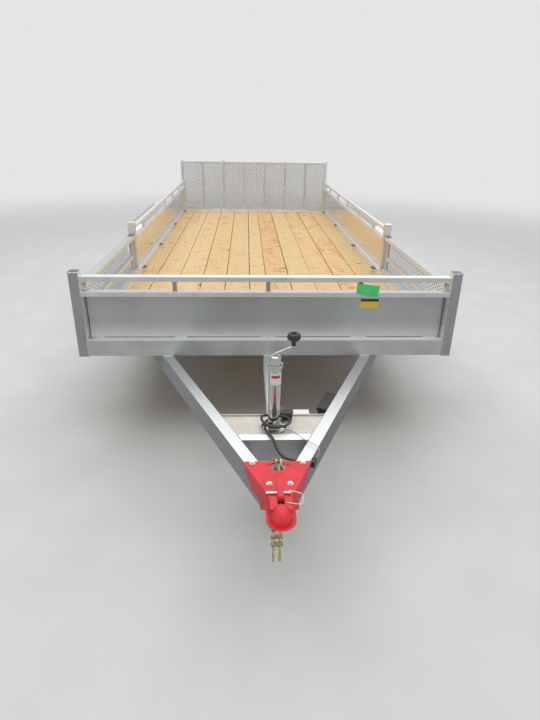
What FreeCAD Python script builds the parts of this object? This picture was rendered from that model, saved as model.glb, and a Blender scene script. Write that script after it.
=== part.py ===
"""Tandem-axle utility trailer of welded aluminium tube with a plank deck.

Millimetres, +Z up. The coupler points to -Y, and +X is to the right of someone who looks from the
coupler to the gate. While it is built, y = 0 is the front face of the front wall and z = 0 the ground;
export() moves every piece so that the origin is the middle of the whole length.
"""
import FreeCAD, Part
import math
import os

V = FreeCAD.Vector
X, Y, Z = V(1, 0, 0), V(0, 1, 0), V(0, 0, 1)

# Deck and the beams round it
deck_z = 560.0            # top of the planks above the ground
plank_t = 38.0
plank_gap = 3.0
plank_widths = (129.0, 184.0, 184.0, 184.0, 184.0, 129.0, 184.0, 184.0, 184.0, 184.0, 176.0)
beam_w = 50.0             # perimeter beam, across
beam_h = 89.0             # perimeter beam, tall
bed_l = 4977.0            # front face of the front wall to the rear beam's rear face
wall = 3.2                # wall of the square tubes
deck_half = sum(plank_widths) / 2
side_half = deck_half + beam_w
beam_low = deck_z - plank_t
beam_top = beam_low + beam_h

# Posts, rails and panels
post_w = 50.0
post_drop = 5.0           # front posts reach this far below the beam
front_post_top = 979.0
rear_post_top = 950.0
cap_t = 4.0
mid_post_y = 1428.0
rail_h = 25.0
rail_w = 28.0
rail_wall = 2.0
top_rail_z = 955.0        # upper face of the top rail
mid_rail_z = 875.0        # upper face of the middle rail
sheet_t = 3.0
front_upright_x = (-478.0, 0.0, 479.0)
side_uprights = 5
upright_w = 22.0

# Tongue, cross tube and jack plate
tongue_w = 50.0
tongue_h = 100.0
tongue_half = 562.0       # outer face of a tongue member at the front wall
coupler_y = -975.0        # rear edge of the coupler
tongue_half_at_coupler = 121.0
tongue_front = -1098.0    # square-cut front end
centre_w = 40.0
cross_w = 40.0
cross_y = -824.0          # front face of the cross tube
plate_rear = -622.0
plate_t = 6.0
plate_drop = 8.0          # jack plate below the cross tube's top

# Coupler
coupler_t = 6.0
coupler_h = 76.0
coupler_fit = 0.5         # beside the tongue members
socket_y = -1238.0
ball_r = 25.4
socket_gap = 0.6
dome_rise = 12.0          # top of the ball housing above the top plate
rim_z = 482.0             # lower face of the nose's lip
rim_r = 50.0
rim_t = 5.0
nose_half = 36.0          # neck and ball housing
wing_y = -1163.0          # where the side walls flare out
wing_half = 69.0
wing_z = 463.0
neck_half = 43.0          # top plate between the wings
chain_hole_r = 27.0
chain_hole_y = -1007.0
slot_half = 12.0          # lever slot behind the dome
slot_y = (-1219.0, -1179.0)
lever_half = 10.5
lever_y = (-1183.0, -1051.0)
lever_h = (3.0, 9.0)      # above the top plate at its rear and front end
catch_z = rim_z + 12      # foot of the lever's tongue
latch_pin_y = -1161.0
latch_pin_r = 4.5
latch_pin_x = (-48.0, 35.0)

# Running gear
wheel_r = 343.0
tyre_w = 205.0
wheel_clear = 27.5        # tyre from the side beam
wheel_x = side_half + wheel_clear + tyre_w / 2
axle_back = 1727.0        # middle of the wheel pairs ahead of the rear beam's rear face
axle_mid_y = bed_l - axle_back
tyre_gap = 174.0          # between the tyres of one side
axle_gap = 2 * wheel_r + tyre_gap
fender_over = 7.5         # fender past the tyre
fender_half_x = wheel_x + tyre_w / 2 + fender_over
fender_top = 2 * wheel_r + 85
fender_past = 142.0       # fender past the tyres, fore and aft
fender_slope = 229.0
fender_half_l = axle_gap / 2 + wheel_r + fender_past
fender_flat = fender_half_l - fender_slope
fender_low = deck_z
fender_lip = 38.0

# Lower frame
rail_low_h = 76.0
rail_low_y = 780.0
cross_pitch = 425.0
cross_count = int((bed_l - beam_w - cross_pitch / 2) // cross_pitch)

# Rear gate in two leaves
gate_gap = 5.0
gate_bar = 25.0
gate_h = 640.0
leaf_gap = 10.0
gate_uprights = 8
mesh_t = 3.0
mesh_cols = 9             # openings across a sheet, fewer and larger than the real diamonds
mesh_ratio = 2.2          # width of a diamond over its height
mesh_strand = 10.0

# Side ramps
ramp_gap = 5.0
ramp_axis_back = 37.0     # hinge pin ahead of the middle post
ramp_end_back = 17.0
ramp_top_z = 890.0
ramp_mid_z = 740.0
ramp_bar = 25.0
ramp_end_w = 35.0

# Jack
jack_y = -720.0
jack_r = 25.4
jack_wall = 3.0
jack_low = 290.0
jack_tube_top = 793.0
jack_head_top = 844.0
leg_r = 21.5
leg_stroke = 250.0
leg_top = jack_tube_top - leg_stroke - 5
leg_ease = 3.0            # chamfer round the leg's plain end
caster_pin_r = 6.5        # cross hole for a caster's pin
caster_pin_z = 42.0
flange_r = 52.0
flange_t = 8.0
head_t = 12.0
cap_round = 5.0
crank_r = 4.5
crank_rise = 7.0
knob_x = 70.0
knob_z = 906.0
knob_r = 27.0

nose_y = socket_y - rim_r
gate_y = bed_l + gate_gap
leaf_y = gate_y + gate_bar + leaf_gap
rear_y = leaf_y + gate_bar + mesh_t
mid_y = (nose_y + rear_y) / 2


def box(x, y, z):
    """A block between pairs of coordinates."""
    return Part.makeBox(x[1] - x[0], y[1] - y[0], z[1] - z[0], V(x[0], y[0], z[0]))


def about(middle, half):
    """The pair of coordinates that lie half on each side of a middle."""
    return middle - half, middle + half


def face(points):
    """The flat face inside an outline."""
    return Part.Face(Part.makePolygon(points + points[:1]))


def hollow(x, y, z, along, t=wall):
    """A rectangular tube, open at both ends, that runs along one axis."""
    spans = dict(x=x, y=y, z=z)
    inner = {k: (s[0] - 1, s[1] + 1) if k == along else (s[0] + t, s[1] - t) for k, s in spans.items()}
    return box(x, y, z).cut(box(inner["x"], inner["y"], inner["z"]))


def rod(start, end, r):
    """A round bar between two points."""
    run = end.sub(start)
    return Part.makeCylinder(r, run.Length, start, run)


def prism(points, low, high):
    """An outline in plan, raised between two heights."""
    return face([V(px, py, low) for px, py in points]).extrude(V(0, 0, high - low))


def both(shape):
    """The shape and its mirror image on the other side."""
    return [shape, shape.mirror(V(0, 0, 0), X)]


def joined(shapes):
    """One solid out of pieces that are welded together."""
    return shapes[0].fuse(shapes[1:]).removeSplitter() if len(shapes) > 1 else shapes[0]


def export(name, shapes):
    """Writes one node."""
    os.makedirs("parts", exist_ok=True)
    shape = Part.makeCompound(shapes) if len(shapes) > 1 else shapes[0].copy()
    shape.translate(V(0, -mid_y, 0))
    shape.exportStep("parts/%s.step" % name)
    return shape


# Beams round the deck
export("front_beam", [hollow((-deck_half, deck_half), (0, beam_w), (beam_low, beam_top), "x")])
side_beam = hollow((deck_half, side_half), (post_w, bed_l - cap_t), (beam_low, beam_top), "y")
beam_cap = box((deck_half, side_half), (bed_l - cap_t, bed_l), (beam_low, beam_top))
export("side_beams", both(joined([side_beam, beam_cap])))
rear_beam = hollow(about(0, deck_half), (bed_l - beam_w, bed_l), (deck_z - beam_h, deck_z), "x")
export("rear_beam", [rear_beam])


def planks():
    """Deck boards side by side, from the front panel to the rear beam."""
    boards, left = [], -deck_half
    for width in plank_widths:
        boards.append(box((left + plank_gap / 2, left + width - plank_gap / 2),
                          (beam_w, bed_l - beam_w), (beam_low, deck_z)))
        left += width
    return boards


export("deck_planks", planks())


# Tongue members run from the coupler under the front beam to the lower rails
slope = (tongue_half - tongue_half_at_coupler) / -coupler_y
tongue_span = tongue_w * math.hypot(1, slope)


def tongue_outer(y):
    """x of a tongue member's outer face."""
    return tongue_half + slope * y


def tongue_inner(y):
    """x of a tongue member's inner face."""
    return tongue_outer(y) - tongue_span


def tongue_member(t=0.0):
    """One member cut to the lower rail and to the middle plane, or its inside when t is given."""
    back = (deck_half - tongue_half + tongue_span) / slope
    lean = t * math.hypot(1, slope)
    front = tongue_front - 200
    outline = [(tongue_outer(front) - lean, front), (tongue_outer(back) - lean, back),
               (tongue_inner(back) + lean, back), (tongue_inner(front) + lean, front)]
    body = prism(outline, beam_low - tongue_h + t, beam_low - t)
    return body.common(box((0, deck_half), (tongue_front, back), (0, deck_z)))


export("tongue_members", both(tongue_member().cut(tongue_member(wall))))

tongue_solid = joined(both(tongue_member()))
export("tongue_centre", [hollow((-centre_w / 2, centre_w / 2), (plate_rear, beam_w),
                                (beam_low - tongue_h, beam_low), "y")])


def cross_tube():
    """Square tube between the members, mitred to them, and the jack plate behind it."""
    reach = tongue_inner(plate_rear)
    back = cross_y + cross_w
    wide = tongue_inner(back)
    tube = hollow((-reach, reach), (cross_y, back), (beam_low - tongue_h, beam_low), "x")
    tube = max(tube.cut(tongue_solid).Solids, key=lambda s: s.Volume)
    top = beam_low - plate_drop
    outline = [(-wide, back), (wide, back), (reach, plate_rear), (-reach, plate_rear)]
    plate = prism(outline, top - plate_t, top)
    lip = box((-reach, reach), (plate_rear - plate_t, plate_rear), (top, beam_low)).cut(tongue_solid)
    plate = joined([plate, lip])
    plate = plate.cut(Part.makeCylinder(jack_r + 0.3, 60, V(0, jack_y, top - 30)))
    return tube, plate


tube, plate = cross_tube()
export("cross_tube", [tube])
export("jack_plate", [plate])


def crossmembers():
    """Tubes under the planks, coped to the tongue members and to the lower rails."""
    pieces = []
    for i in range(1, cross_count + 1):
        y = i * cross_pitch
        half = side_half if y < rail_low_y else deck_half
        bar = hollow((-half, half), (y - 19, y + 19), (beam_low - rail_low_h, beam_low), "x")
        pieces += [s for s in bar.cut(tongue_solid).Solids if s.Volume > 60000]
    return pieces


export("crossmembers", crossmembers())
lower_rail = hollow((deck_half, side_half), (rail_low_y, bed_l), (beam_low - rail_low_h, beam_low), "y")
export("lower_rails", both(lower_rail))


# Posts
def post(x, y, low, high):
    """Square tube with a welded cap."""
    shell = hollow((x, x + post_w), (y, y + post_w), (low, high - cap_t), "z")
    cap = box((x, x + post_w), (y, y + post_w), (high - cap_t, high))
    return joined([shell, cap])


posts = both(post(deck_half, 0, beam_low - post_drop, front_post_top))
posts += both(post(deck_half, mid_post_y, beam_top, front_post_top))
posts += both(post(deck_half, bed_l - post_w, beam_top, rear_post_top))
export("posts", posts)


# Rails and panels
panel_y = beam_w - sheet_t
front_rails, side_rails = [], []
side_start, side_end = mid_post_y + post_w, bed_l - post_w
for top in (top_rail_z, mid_rail_z):
    span = (top - rail_h, top)
    front_rails.append(hollow((-deck_half, deck_half), (0, panel_y), span, "x", rail_wall))
    side_rails += both(hollow((deck_half, deck_half + rail_w), (side_start, side_end), span, "y", rail_wall))
export("front_rails", front_rails)
export("side_rails", side_rails)

between = (mid_rail_z, top_rail_z - rail_h)
front_set = (panel_y - upright_w) / 2
side_set = deck_half + (rail_w - upright_w) / 2
uprights = [hollow(about(x, upright_w / 2), (front_set, front_set + upright_w), between, "z", rail_wall)
            for x in front_upright_x]
pitch = (side_end - side_start) / (side_uprights + 0.55)
for i in range(side_uprights):
    y = side_start + (0.6 + i) * pitch
    uprights += both(hollow((side_set, side_set + upright_w), (y, y + upright_w), between, "z", rail_wall))
export("rail_uprights", uprights)
export("front_panel", [box((-deck_half, deck_half), (panel_y, beam_w), (beam_top, mid_rail_z))])
side_sheet = (deck_half + rail_w, deck_half + rail_w + sheet_t)
export("side_panels", both(box(side_sheet, (side_start, side_end), (beam_top, mid_rail_z))))


# Tie-down loops on the inner faces of the side beams
tie_bar = 10.0
tie_l = 64.0
tie_out = 22.0
tie_z = beam_top - 18
tie_front = 60.0          # first loop behind the front beam
tie_side = 202.0          # second loop behind the middle post
tie_back = (2467.0, 1347.0, 347.0)


def tie_down(y):
    """Square-cut loop of bar, welded to the beam."""
    half = tie_l / 2
    loop = box((deck_half - tie_out, deck_half), about(y, half), about(tie_z, tie_bar / 2))
    eye = box((deck_half - tie_out + tie_bar, deck_half + 1), about(y, half - tie_bar), about(tie_z, tie_bar))
    return loop.cut(eye)


tie_downs = []
for y in [beam_w + tie_front, mid_post_y + tie_side] + [bed_l - back for back in tie_back]:
    tie_downs += both(tie_down(y))
export("tie_downs", tie_downs)


# Fenders
def fender():
    """Bent top sheet with a turned-down outer lip and an inner plate on the side beam."""
    outline = [(-fender_half_l, fender_low), (-fender_flat, fender_top), (fender_flat, fender_top),
               (fender_half_l, fender_low)]

    def band(drop, x0, x1):
        top = [V(x0, axle_mid_y + y, z) for y, z in outline]
        low = [V(x0, axle_mid_y + y * (1 - drop / fender_half_l), z - (drop if z > fender_low else 0))
               for y, z in outline]
        return face(top + low[::-1]).extrude(V(x1 - x0, 0, 0))

    sheet = band(sheet_t, side_half, fender_half_x)
    lip = band(fender_lip, fender_half_x - sheet_t, fender_half_x)
    inner = [V(side_half, axle_mid_y + y, z) for y, z in outline]
    back = face(inner).extrude(V(sheet_t, 0, 0))
    return joined([sheet, lip, back])


export("fenders", both(fender()))

# Axles: a square torsion tube under each pair of wheels
axle_ys = (axle_mid_y - axle_gap / 2, axle_mid_y + axle_gap / 2)
arm_l = 139.0             # trailing arm, fore and aft
tube_z = 400.0
tube_half = 35.0
tube_wall = 6.0
saddle_half = 75.0
arm_x = side_half + 3
arm_t = 22.0
arm_root_r = 38.0
arm_end_r = 32.0
spindle_r = 16.0
spindle_end = wheel_x + 38
brake_r = 127.0
brake_t = 5.0


def trailing_arm(y, root_y):
    """Cast arm from the torsion tube to the wheel's middle, with its spindle."""
    root, end = V(arm_x, root_y, tube_z), V(arm_x, y, wheel_r)
    tall, short = V(0, 0, arm_root_r - 2), V(0, 0, arm_end_r - 2)
    web = face([root.add(tall), end.add(short), end.sub(short), root.sub(tall)]).extrude(V(arm_t, 0, 0))
    bosses = [rod(root, root.add(V(arm_t, 0, 0)), arm_root_r), rod(end, end.add(V(arm_t, 0, 0)), arm_end_r)]
    return joined(bosses + [web, rod(end, V(spindle_end, y, wheel_r), spindle_r)])


axle_tubes, axle_brackets, arms, brakes = [], [], [], []
for y in axle_ys:
    root_y = y - arm_l
    axle_tubes.append(hollow((-arm_x, arm_x), (root_y - tube_half, root_y + tube_half),
                             (tube_z - tube_half, tube_z + tube_half), "x", tube_wall))
    axle_brackets += both(box((deck_half, side_half), (root_y - saddle_half, root_y + saddle_half),
                              (tube_z + tube_half, beam_low - rail_low_h)))
    arms += both(trailing_arm(y, root_y))
    plate_at = V(arm_x + arm_t, y, wheel_r)
    disc = Part.makeCylinder(brake_r, brake_t, plate_at, X)
    brakes += both(disc.cut(Part.makeCylinder(spindle_r, brake_t, plate_at, X)))
export("axle_tubes", axle_tubes)
export("axle_brackets", axle_brackets)
export("trailing_arms", arms)
export("brake_plates", brakes)


# Wheels
rim_r_out = 190.0         # bead seat
flange_out = rim_r_out + 8
half_t = tyre_w / 2
bead_x = half_t * 0.74    # bead from the wheel's middle
drop_r = rim_r_out - 18   # well of the rim
disc_x = 22.0             # back of the spoke disc
disc_t = 8.0
hub_cap_r = 40.0
hub_cap_x = 60.0
lug_circle = 57.15        # 5 on 114.3
lug_r = 12.0
lug_x = 46.0
spokes = 5
window_in, window_out = 80.0, drop_r - 22
window_half = (13.0, 25.0)
pin_gap = 0.05
wall_r = (260.0, 310.0)   # widest part of the tyre and the start of its shoulder
tyre_profile = [(rim_r_out + 0.4, -bead_x), (rim_r_out + 9, -bead_x), (rim_r_out + 14, -bead_x - 8),
                (wall_r[0], -half_t), (wall_r[1], 6.5 - half_t), (wheel_r - 4, 24.5 - half_t),
                (wheel_r, 42.5 - half_t), (wheel_r, half_t - 42.5), (wheel_r - 4, half_t - 24.5),
                (wall_r[1], half_t - 6.5), (wall_r[0], half_t), (rim_r_out + 14, bead_x + 8),
                (rim_r_out + 9, bead_x), (rim_r_out + 0.4, bead_x), (rim_r_out + 0.4, bead_x - 7),
                (rim_r_out + 16, bead_x - 16), (rim_r_out + 16, 16 - bead_x), (rim_r_out + 0.4, 7 - bead_x)]
rim_profile = [(flange_out, -bead_x - 8), (flange_out, -bead_x - 2), (rim_r_out, -bead_x),
               (rim_r_out, 16 - bead_x), (drop_r, 28 - bead_x), (drop_r, bead_x - 30), (rim_r_out, bead_x - 16),
               (rim_r_out, bead_x), (flange_out, bead_x + 2), (flange_out, bead_x + 8),
               (flange_out - 6, bead_x + 8), (rim_r_out - 6, bead_x + 2), (rim_r_out - 6, bead_x - 20),
               (drop_r - 6, bead_x - 32), (drop_r - 6, disc_x), (hub_cap_r + 22, disc_x + disc_t),
               (spindle_r + pin_gap, disc_x + disc_t), (spindle_r + pin_gap, -40), (52, -40), (52, disc_x - 12),
               (drop_r - 6, disc_x - 14), (drop_r - 6, 32 - bead_x), (rim_r_out - 6, 20 - bead_x),
               (rim_r_out - 6, -bead_x - 2), (flange_out - 6, -bead_x - 8)]


def revolved(profile, x, y):
    """Turns an outline of (radius, offset) round a wheel's axis."""
    pts = [V(x + off, y, wheel_r + r) for r, off in profile]
    return face(pts).revolve(V(x, y, wheel_r), X, 360)


def spot(x, y, r, degrees):
    """A point on a circle round a wheel's axis."""
    angle = math.radians(degrees)
    return V(x, y + r * math.sin(angle), wheel_r + r * math.cos(angle))


def wheel(side, y):
    """Tyre and rim of one wheel; side is 1 or -1."""
    x = wheel_x
    tyre = revolved(tyre_profile, x, y)
    rim = revolved(rim_profile, x, y)
    extras = []
    for i in range(spokes):
        middle = 360 / spokes * i
        corners = [(window_in, -window_half[0]), (window_out, -window_half[1]), (window_out + 6, 0),
                   (window_out, window_half[1]), (window_in, window_half[0])]
        window = face([spot(x - 30, y, r, middle + turn) for r, turn in corners])
        rim = rim.cut(window.extrude(V(100, 0, 0)))
        seat = spot(x + disc_x, y, lug_circle, middle + 180 / spokes)
        corners = [math.radians(60 * k) for k in range(6)]
        nut = face([seat.add(V(0, lug_r * math.sin(a), lug_r * math.cos(a))) for a in corners])
        extras.append(nut.extrude(V(lug_x - disc_x, 0, 0)))
    bore = spindle_r + pin_gap
    face_x = x + disc_x + disc_t - 2
    boss_l = hub_cap_x - 20 - disc_x - disc_t + 2
    boss = Part.makeCylinder(hub_cap_r, boss_l, V(face_x, y, wheel_r), X)
    boss = boss.cut(Part.makeCylinder(bore, boss_l, V(face_x, y, wheel_r), X))
    cap = Part.makeCylinder(hub_cap_r, 14, V(face_x + boss_l, y, wheel_r), X)
    dome = Part.makeCone(hub_cap_r, hub_cap_r - 8, 6, V(face_x + boss_l + 14, y, wheel_r), X)
    rim = joined([rim, boss, cap, dome] + extras)
    if side < 0:
        tyre, rim = tyre.mirror(V(0, 0, 0), X), rim.mirror(V(0, 0, 0), X)
    return tyre, rim


for side, side_name in ((-1, "left"), (1, "right")):
    for y, place in zip(axle_ys, ("front", "rear")):
        tyre, rim = wheel(side, y)
        export("tyre_%s_%s" % (side_name, place), [tyre])
        export("rim_%s_%s" % (side_name, place), [rim])


# Rear gate
gate_half = side_half
hinge_r = 11.0
hinge_pin = 5.0
gate_axis = V(0, gate_y + gate_bar / 2, deck_z - 16)
leaf_axis = V(0, gate_y + gate_bar + leaf_gap / 2, deck_z + gate_h + 12)
knuckle = 10.0
hinge_in = 423.0          # inner hinges from the middle
hinge_end = 17.0          # outer hinges from the gate's ends
hinge_xs = [hinge_end - gate_half, -hinge_in, hinge_in, gate_half - hinge_end]


def gate_frame(y):
    """Welded ladder of square bars: two long bars and eight uprights."""
    low, high = deck_z, deck_z + gate_h
    bars = [box((-gate_half, gate_half), (y, y + gate_bar), (low, low + gate_bar)),
            box((-gate_half, gate_half), (y, y + gate_bar), (high - gate_bar, high))]
    step = (2 * gate_half - gate_bar) / (gate_uprights - 1)
    for i in range(gate_uprights):
        x = -gate_half + i * step
        bars.append(box((x, x + gate_bar), (y, y + gate_bar), (low, high)))
    return bars


def expanded_sheet(x, z, edge):
    """Expanded metal in the XZ plane, from y 0 back: staggered diamonds inside a plain edge."""
    cell_x = (x[1] - x[0] - 2 * edge) / mesh_cols
    rows = round((z[1] - z[0] - 2 * edge) * mesh_ratio / cell_x)
    cell_z = (z[1] - z[0] - 2 * edge) / rows
    half_x = cell_x / 2 - mesh_strand / 2 * math.hypot(1, cell_x / cell_z)
    half_z = cell_z / 2 - mesh_strand / 2 * math.hypot(1, cell_z / cell_x)
    middles = [(i + 0.5, k + 0.5) for k in range(rows) for i in range(mesh_cols)]
    middles += [(i, k) for k in range(1, rows) for i in range(1, mesh_cols)]
    diamonds = []
    for i, k in middles:
        cx, cz = x[0] + edge + i * cell_x, z[0] + edge + k * cell_z
        pts = [V(cx - half_x, 0, cz), V(cx, 0, cz - half_z), V(cx + half_x, 0, cz), V(cx, 0, cz + half_z)]
        diamonds.append(Part.Face(Part.makePolygon(pts + pts[:1])))
    pts = [V(x[0], 0, z[0]), V(x[1], 0, z[0]), V(x[1], 0, z[1]), V(x[0], 0, z[1])]
    sheet = Part.Face(Part.makePolygon(pts + pts[:1]))
    return sheet.cut(diamonds).Faces[0].extrude(V(0, mesh_t, 0))


def knuckles(axis, r, lengths, web):
    """Hinge barrels on one axis, each with the web that welds it on."""
    out = []
    for x, w in lengths:
        barrel = Part.makeCylinder(r, w, V(x, axis.y, axis.z), X)
        out.append(barrel.fuse(box((x, x + w), web[0], web[1])))
    return out


def bored(shape, axis, r):
    """Drills every barrel on an axis."""
    return shape.cut(Part.makeCylinder(r, 2 * gate_half + 20, V(-gate_half - 10, axis.y, axis.z), X))


side_gap = 0.3
hinge_half = knuckle * 1.5 + side_gap
outer = [(x - hinge_half, knuckle) for x in hinge_xs]
outer += [(x + hinge_half - knuckle, knuckle) for x in hinge_xs]
middle = [(x - knuckle / 2, knuckle) for x in hinge_xs]


def hinge_pins(axis, r):
    """A pin through each hinge group on an axis."""
    return [Part.makeCylinder(r, 2 * hinge_half, V(x - hinge_half, axis.y, axis.z), X) for x in hinge_xs]


frame_knuckles = knuckles(gate_axis, hinge_r, outer, ((bed_l, gate_axis.y), about(gate_axis.z, 8)))
gate_hinges = []
for x, pin in zip(hinge_xs, hinge_pins(gate_axis, hinge_pin)):
    pair = [k for k in frame_knuckles if abs(k.BoundBox.Center.x - x) < hinge_half]
    gate_hinges.append(joined(pair + [pin]))
export("gate_hinges", gate_hinges)

# Slam latches: a slotted plate on each rear post catches a pin at the gate's side
striker_r = 5.5
striker_z = 900.0
catch_x = (side_half + 5, side_half + 11)
catch_y = (bed_l - 42, gate_axis.y + 9)
catch_half = 24.0
catch_slot = striker_r + 1.5
catch = box(catch_x, catch_y, about(striker_z, catch_half))
catch = catch.cut(box((catch_x[0] - 1, catch_x[1] + 1), (gate_axis.y - catch_slot, catch_y[1] + 1),
                      about(striker_z, catch_slot)))
spacer = box((side_half, catch_x[0]), (catch_y[0], bed_l - 8), about(striker_z, catch_half))
bolts = [Part.makeCylinder(8, 6, V(catch_x[1], bed_l - post_w / 2, z), X)
         for z in about(striker_z, catch_half - 11)]
export("gate_catches", both(joined([catch, spacer] + bolts)))
striker_l = catch_x[1] + 4 - gate_half
strikers = both(Part.makeCylinder(striker_r, striker_l, V(gate_half, gate_axis.y, striker_z), X))

lower_bars = gate_frame(gate_y)
low_knuckles = knuckles(gate_axis, hinge_r, middle, (about(gate_axis.y, 8), (gate_axis.z, deck_z)))
leaf_r = 9.0
leaf_pin = 4.0
top_z = deck_z + gate_h
top_knuckles = knuckles(leaf_axis, leaf_r, outer, ((gate_y + 8, leaf_axis.y), (top_z - 6, leaf_axis.z + 2)))
lower_frame = bored(joined(low_knuckles), gate_axis, hinge_pin + pin_gap)
lower_frame = joined(lower_bars + [lower_frame] + top_knuckles + hinge_pins(leaf_axis, leaf_pin) + strikers)
export("gate_lower_frame", [lower_frame])
mesh_in = 4.0             # sheet short of the outer bars' edges
gate_mesh = expanded_sheet(about(0, gate_half - 1), (deck_z + mesh_in, top_z - mesh_in), gate_bar - mesh_in)
export("gate_lower_mesh", [gate_mesh.translated(V(0, gate_y - mesh_t, 0))])

leaf_web = ((leaf_axis.y, leaf_y + 8), (top_z - 6, leaf_axis.z + 2))
upper_knuckles = knuckles(leaf_axis, leaf_r, middle, leaf_web)
upper_frame = bored(joined(upper_knuckles), leaf_axis, leaf_pin + pin_gap)
upper_frame = joined(gate_frame(leaf_y) + [upper_frame])
export("gate_upper_frame", [upper_frame])
export("gate_upper_mesh", [gate_mesh.translated(V(0, leaf_y + gate_bar, 0))])


# Side ramps
ramp_axis = V(deck_half + post_w / 2, mid_post_y - ramp_axis_back, 0)
ramp_y = (post_w + ramp_gap, mid_post_y - ramp_end_back)
ramp_low_z = beam_top + ramp_gap
ramp_pin = 6.0
tread_x = side_half - 5   # inner face of the ramp's mesh


def ramp():
    """Ladder frame stored on edge: three long bars and an end bar each side."""
    x, inner = (deck_half, side_half), (tread_x - ramp_bar, tread_x)
    frame = joined([box(x, ramp_y, (ramp_top_z - ramp_bar, ramp_top_z)),
                    box(x, ramp_y, (ramp_low_z, ramp_low_z + ramp_bar)),
                    box(inner, ramp_y, (ramp_mid_z - ramp_bar, ramp_mid_z)),
                    box(inner, (ramp_y[0], ramp_y[0] + ramp_end_w), (ramp_low_z, ramp_top_z)),
                    box(inner, (ramp_y[1] - ramp_end_w, ramp_y[1]), (ramp_low_z, ramp_top_z))])
    for z in (ramp_top_z - 22, ramp_low_z - 1):
        frame = frame.cut(Part.makeCylinder(ramp_pin + pin_gap, 23, V(ramp_axis.x, ramp_axis.y, z)))
    return frame


def ramp_hinge():
    """Lug on the post above the ramp with its pin, and the pin on the beam below."""
    lug = box(about(ramp_axis.x, 17), (ramp_axis.y - 18, mid_post_y), (ramp_top_z + 5, ramp_top_z + 11))
    top_pin = Part.makeCylinder(ramp_pin, 26, V(ramp_axis.x, ramp_axis.y, ramp_top_z - 20))
    low_pin = Part.makeCylinder(ramp_pin, 25, V(ramp_axis.x, ramp_axis.y, beam_top))
    return [joined([lug, top_pin]), low_pin]


ramp_frame = ramp()
ramp_mesh = expanded_sheet((ramp_y[0] + ramp_end_w, ramp_y[1] - ramp_end_w),
                           (ramp_low_z + ramp_bar, ramp_top_z - ramp_bar), mesh_strand)
ramp_mesh = ramp_mesh.rotated(V(0, 0, 0), Z, 90).translated(V(tread_x + mesh_t, 0, 0))
for name, shape in (("frame", ramp_frame), ("mesh", ramp_mesh)):
    export("ramp_right_" + name, [shape])
    export("ramp_left_" + name, [shape.mirror(V(0, 0, 0), X)])
hinges = []
for piece in ramp_hinge():
    hinges += both(piece)
export("ramp_hinges", hinges)

# Latch keepers at the ramps' front ends: a lug on the post's inner face with its spring bolt
keeper_z = (ramp_top_z + 6, ramp_top_z + 21)
keeper = box((deck_half - 18, deck_half), (panel_y, panel_y + 20), keeper_z)
bolt_l = keeper_z[1] - keeper_z[0] + 22
keeper_bolt = Part.makeCylinder(4.5, bolt_l, V(deck_half - 10, panel_y + 10, keeper_z[0] - 14))
export("ramp_latches", both(joined([keeper, keeper_bolt])))


# Coupler
def section(y, top_half, low_half, low, high):
    """A trapezium across the coupler."""
    pts = [V(-top_half, y, high), V(top_half, y, high), V(low_half, y, low), V(-low_half, y, low)]
    return Part.makePolygon(pts + pts[:1])


def coupler_wedge(t, high):
    """Outside of the pressed wedge, or its inside when the sheet's thickness is taken off."""
    lean = (coupler_t - t) * math.hypot(1, slope) + coupler_fit
    low = coupler_top - coupler_h
    rear, front = tongue_outer(coupler_y + t) + lean, tongue_outer(tongue_front) + lean
    stations = [section(coupler_y + t, rear, rear, low - t, high),
                section(tongue_front, front, front, low - t, high),
                section(wing_y, neck_half - t, wing_half - t, low - t, high),
                section(neck_y, nose_half - t, nose_half - t, low - t, high)]
    return joined([Part.makeLoft(list(pair), True, True) for pair in zip(stations, stations[1:])])


def coupler_nose():
    """Neck and domed housing of the ball, with the lip round their foot."""
    centre = V(0, socket_y, rim_z)
    dome_z = coupler_top + dome_rise - nose_half
    neck = box((-nose_half, nose_half), (socket_y, neck_y), (rim_z, coupler_top))
    wall = Part.makeCylinder(nose_half, dome_z - rim_z, centre)
    lip = Part.makeCylinder(rim_r, rim_t, centre).fuse(
        box((-rim_r, rim_r), (socket_y, neck_y - 8), (rim_z, rim_z + rim_t)))
    dome = Part.makeSphere(nose_half, V(0, socket_y, dome_z))
    dome = dome.common(box(about(0, rim_r), about(socket_y, rim_r), (rim_z, coupler_top + dome_rise)))
    return [neck, wall, lip, dome]


def coupler():
    """Pressed A-frame coupler: wedge that wraps the members, flared wings, skirt and ball socket."""
    low = coupler_top - coupler_h
    body = joined([coupler_wedge(0, coupler_top)] + coupler_nose())
    body = body.cut(coupler_wedge(coupler_t, beam_low))
    slant_z = beam_low - 2
    slant = [(coupler_y + 1, low - 1), (coupler_y + 1, slant_z), (coupler_y - 8, slant_z),
             (coupler_y - 8 - (slant_z - low), low), (wing_y, wing_z), (neck_y, rim_z), (nose_y - 50, rim_z),
             (nose_y - 50, low - 1)]
    body = body.cut(face([V(-post_w * 4, y, z) for y, z in slant]).extrude(V(post_w * 8, 0, 0)))
    bore = ball_r + socket_gap
    body = body.cut(Part.makeSphere(bore, V(0, socket_y, ball_z)))
    body = body.cut(Part.makeCylinder(bore, ball_z - rim_z + 1, V(0, socket_y, rim_z - 1)))
    body = body.cut(Part.makeCylinder(chain_hole_r, coupler_t + 2, V(0, chain_hole_y, beam_low - 1)))
    return body.cut(box((-slot_half, slot_half), slot_y, (catch_z - 3, coupler_top + dome_rise)))


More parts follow.
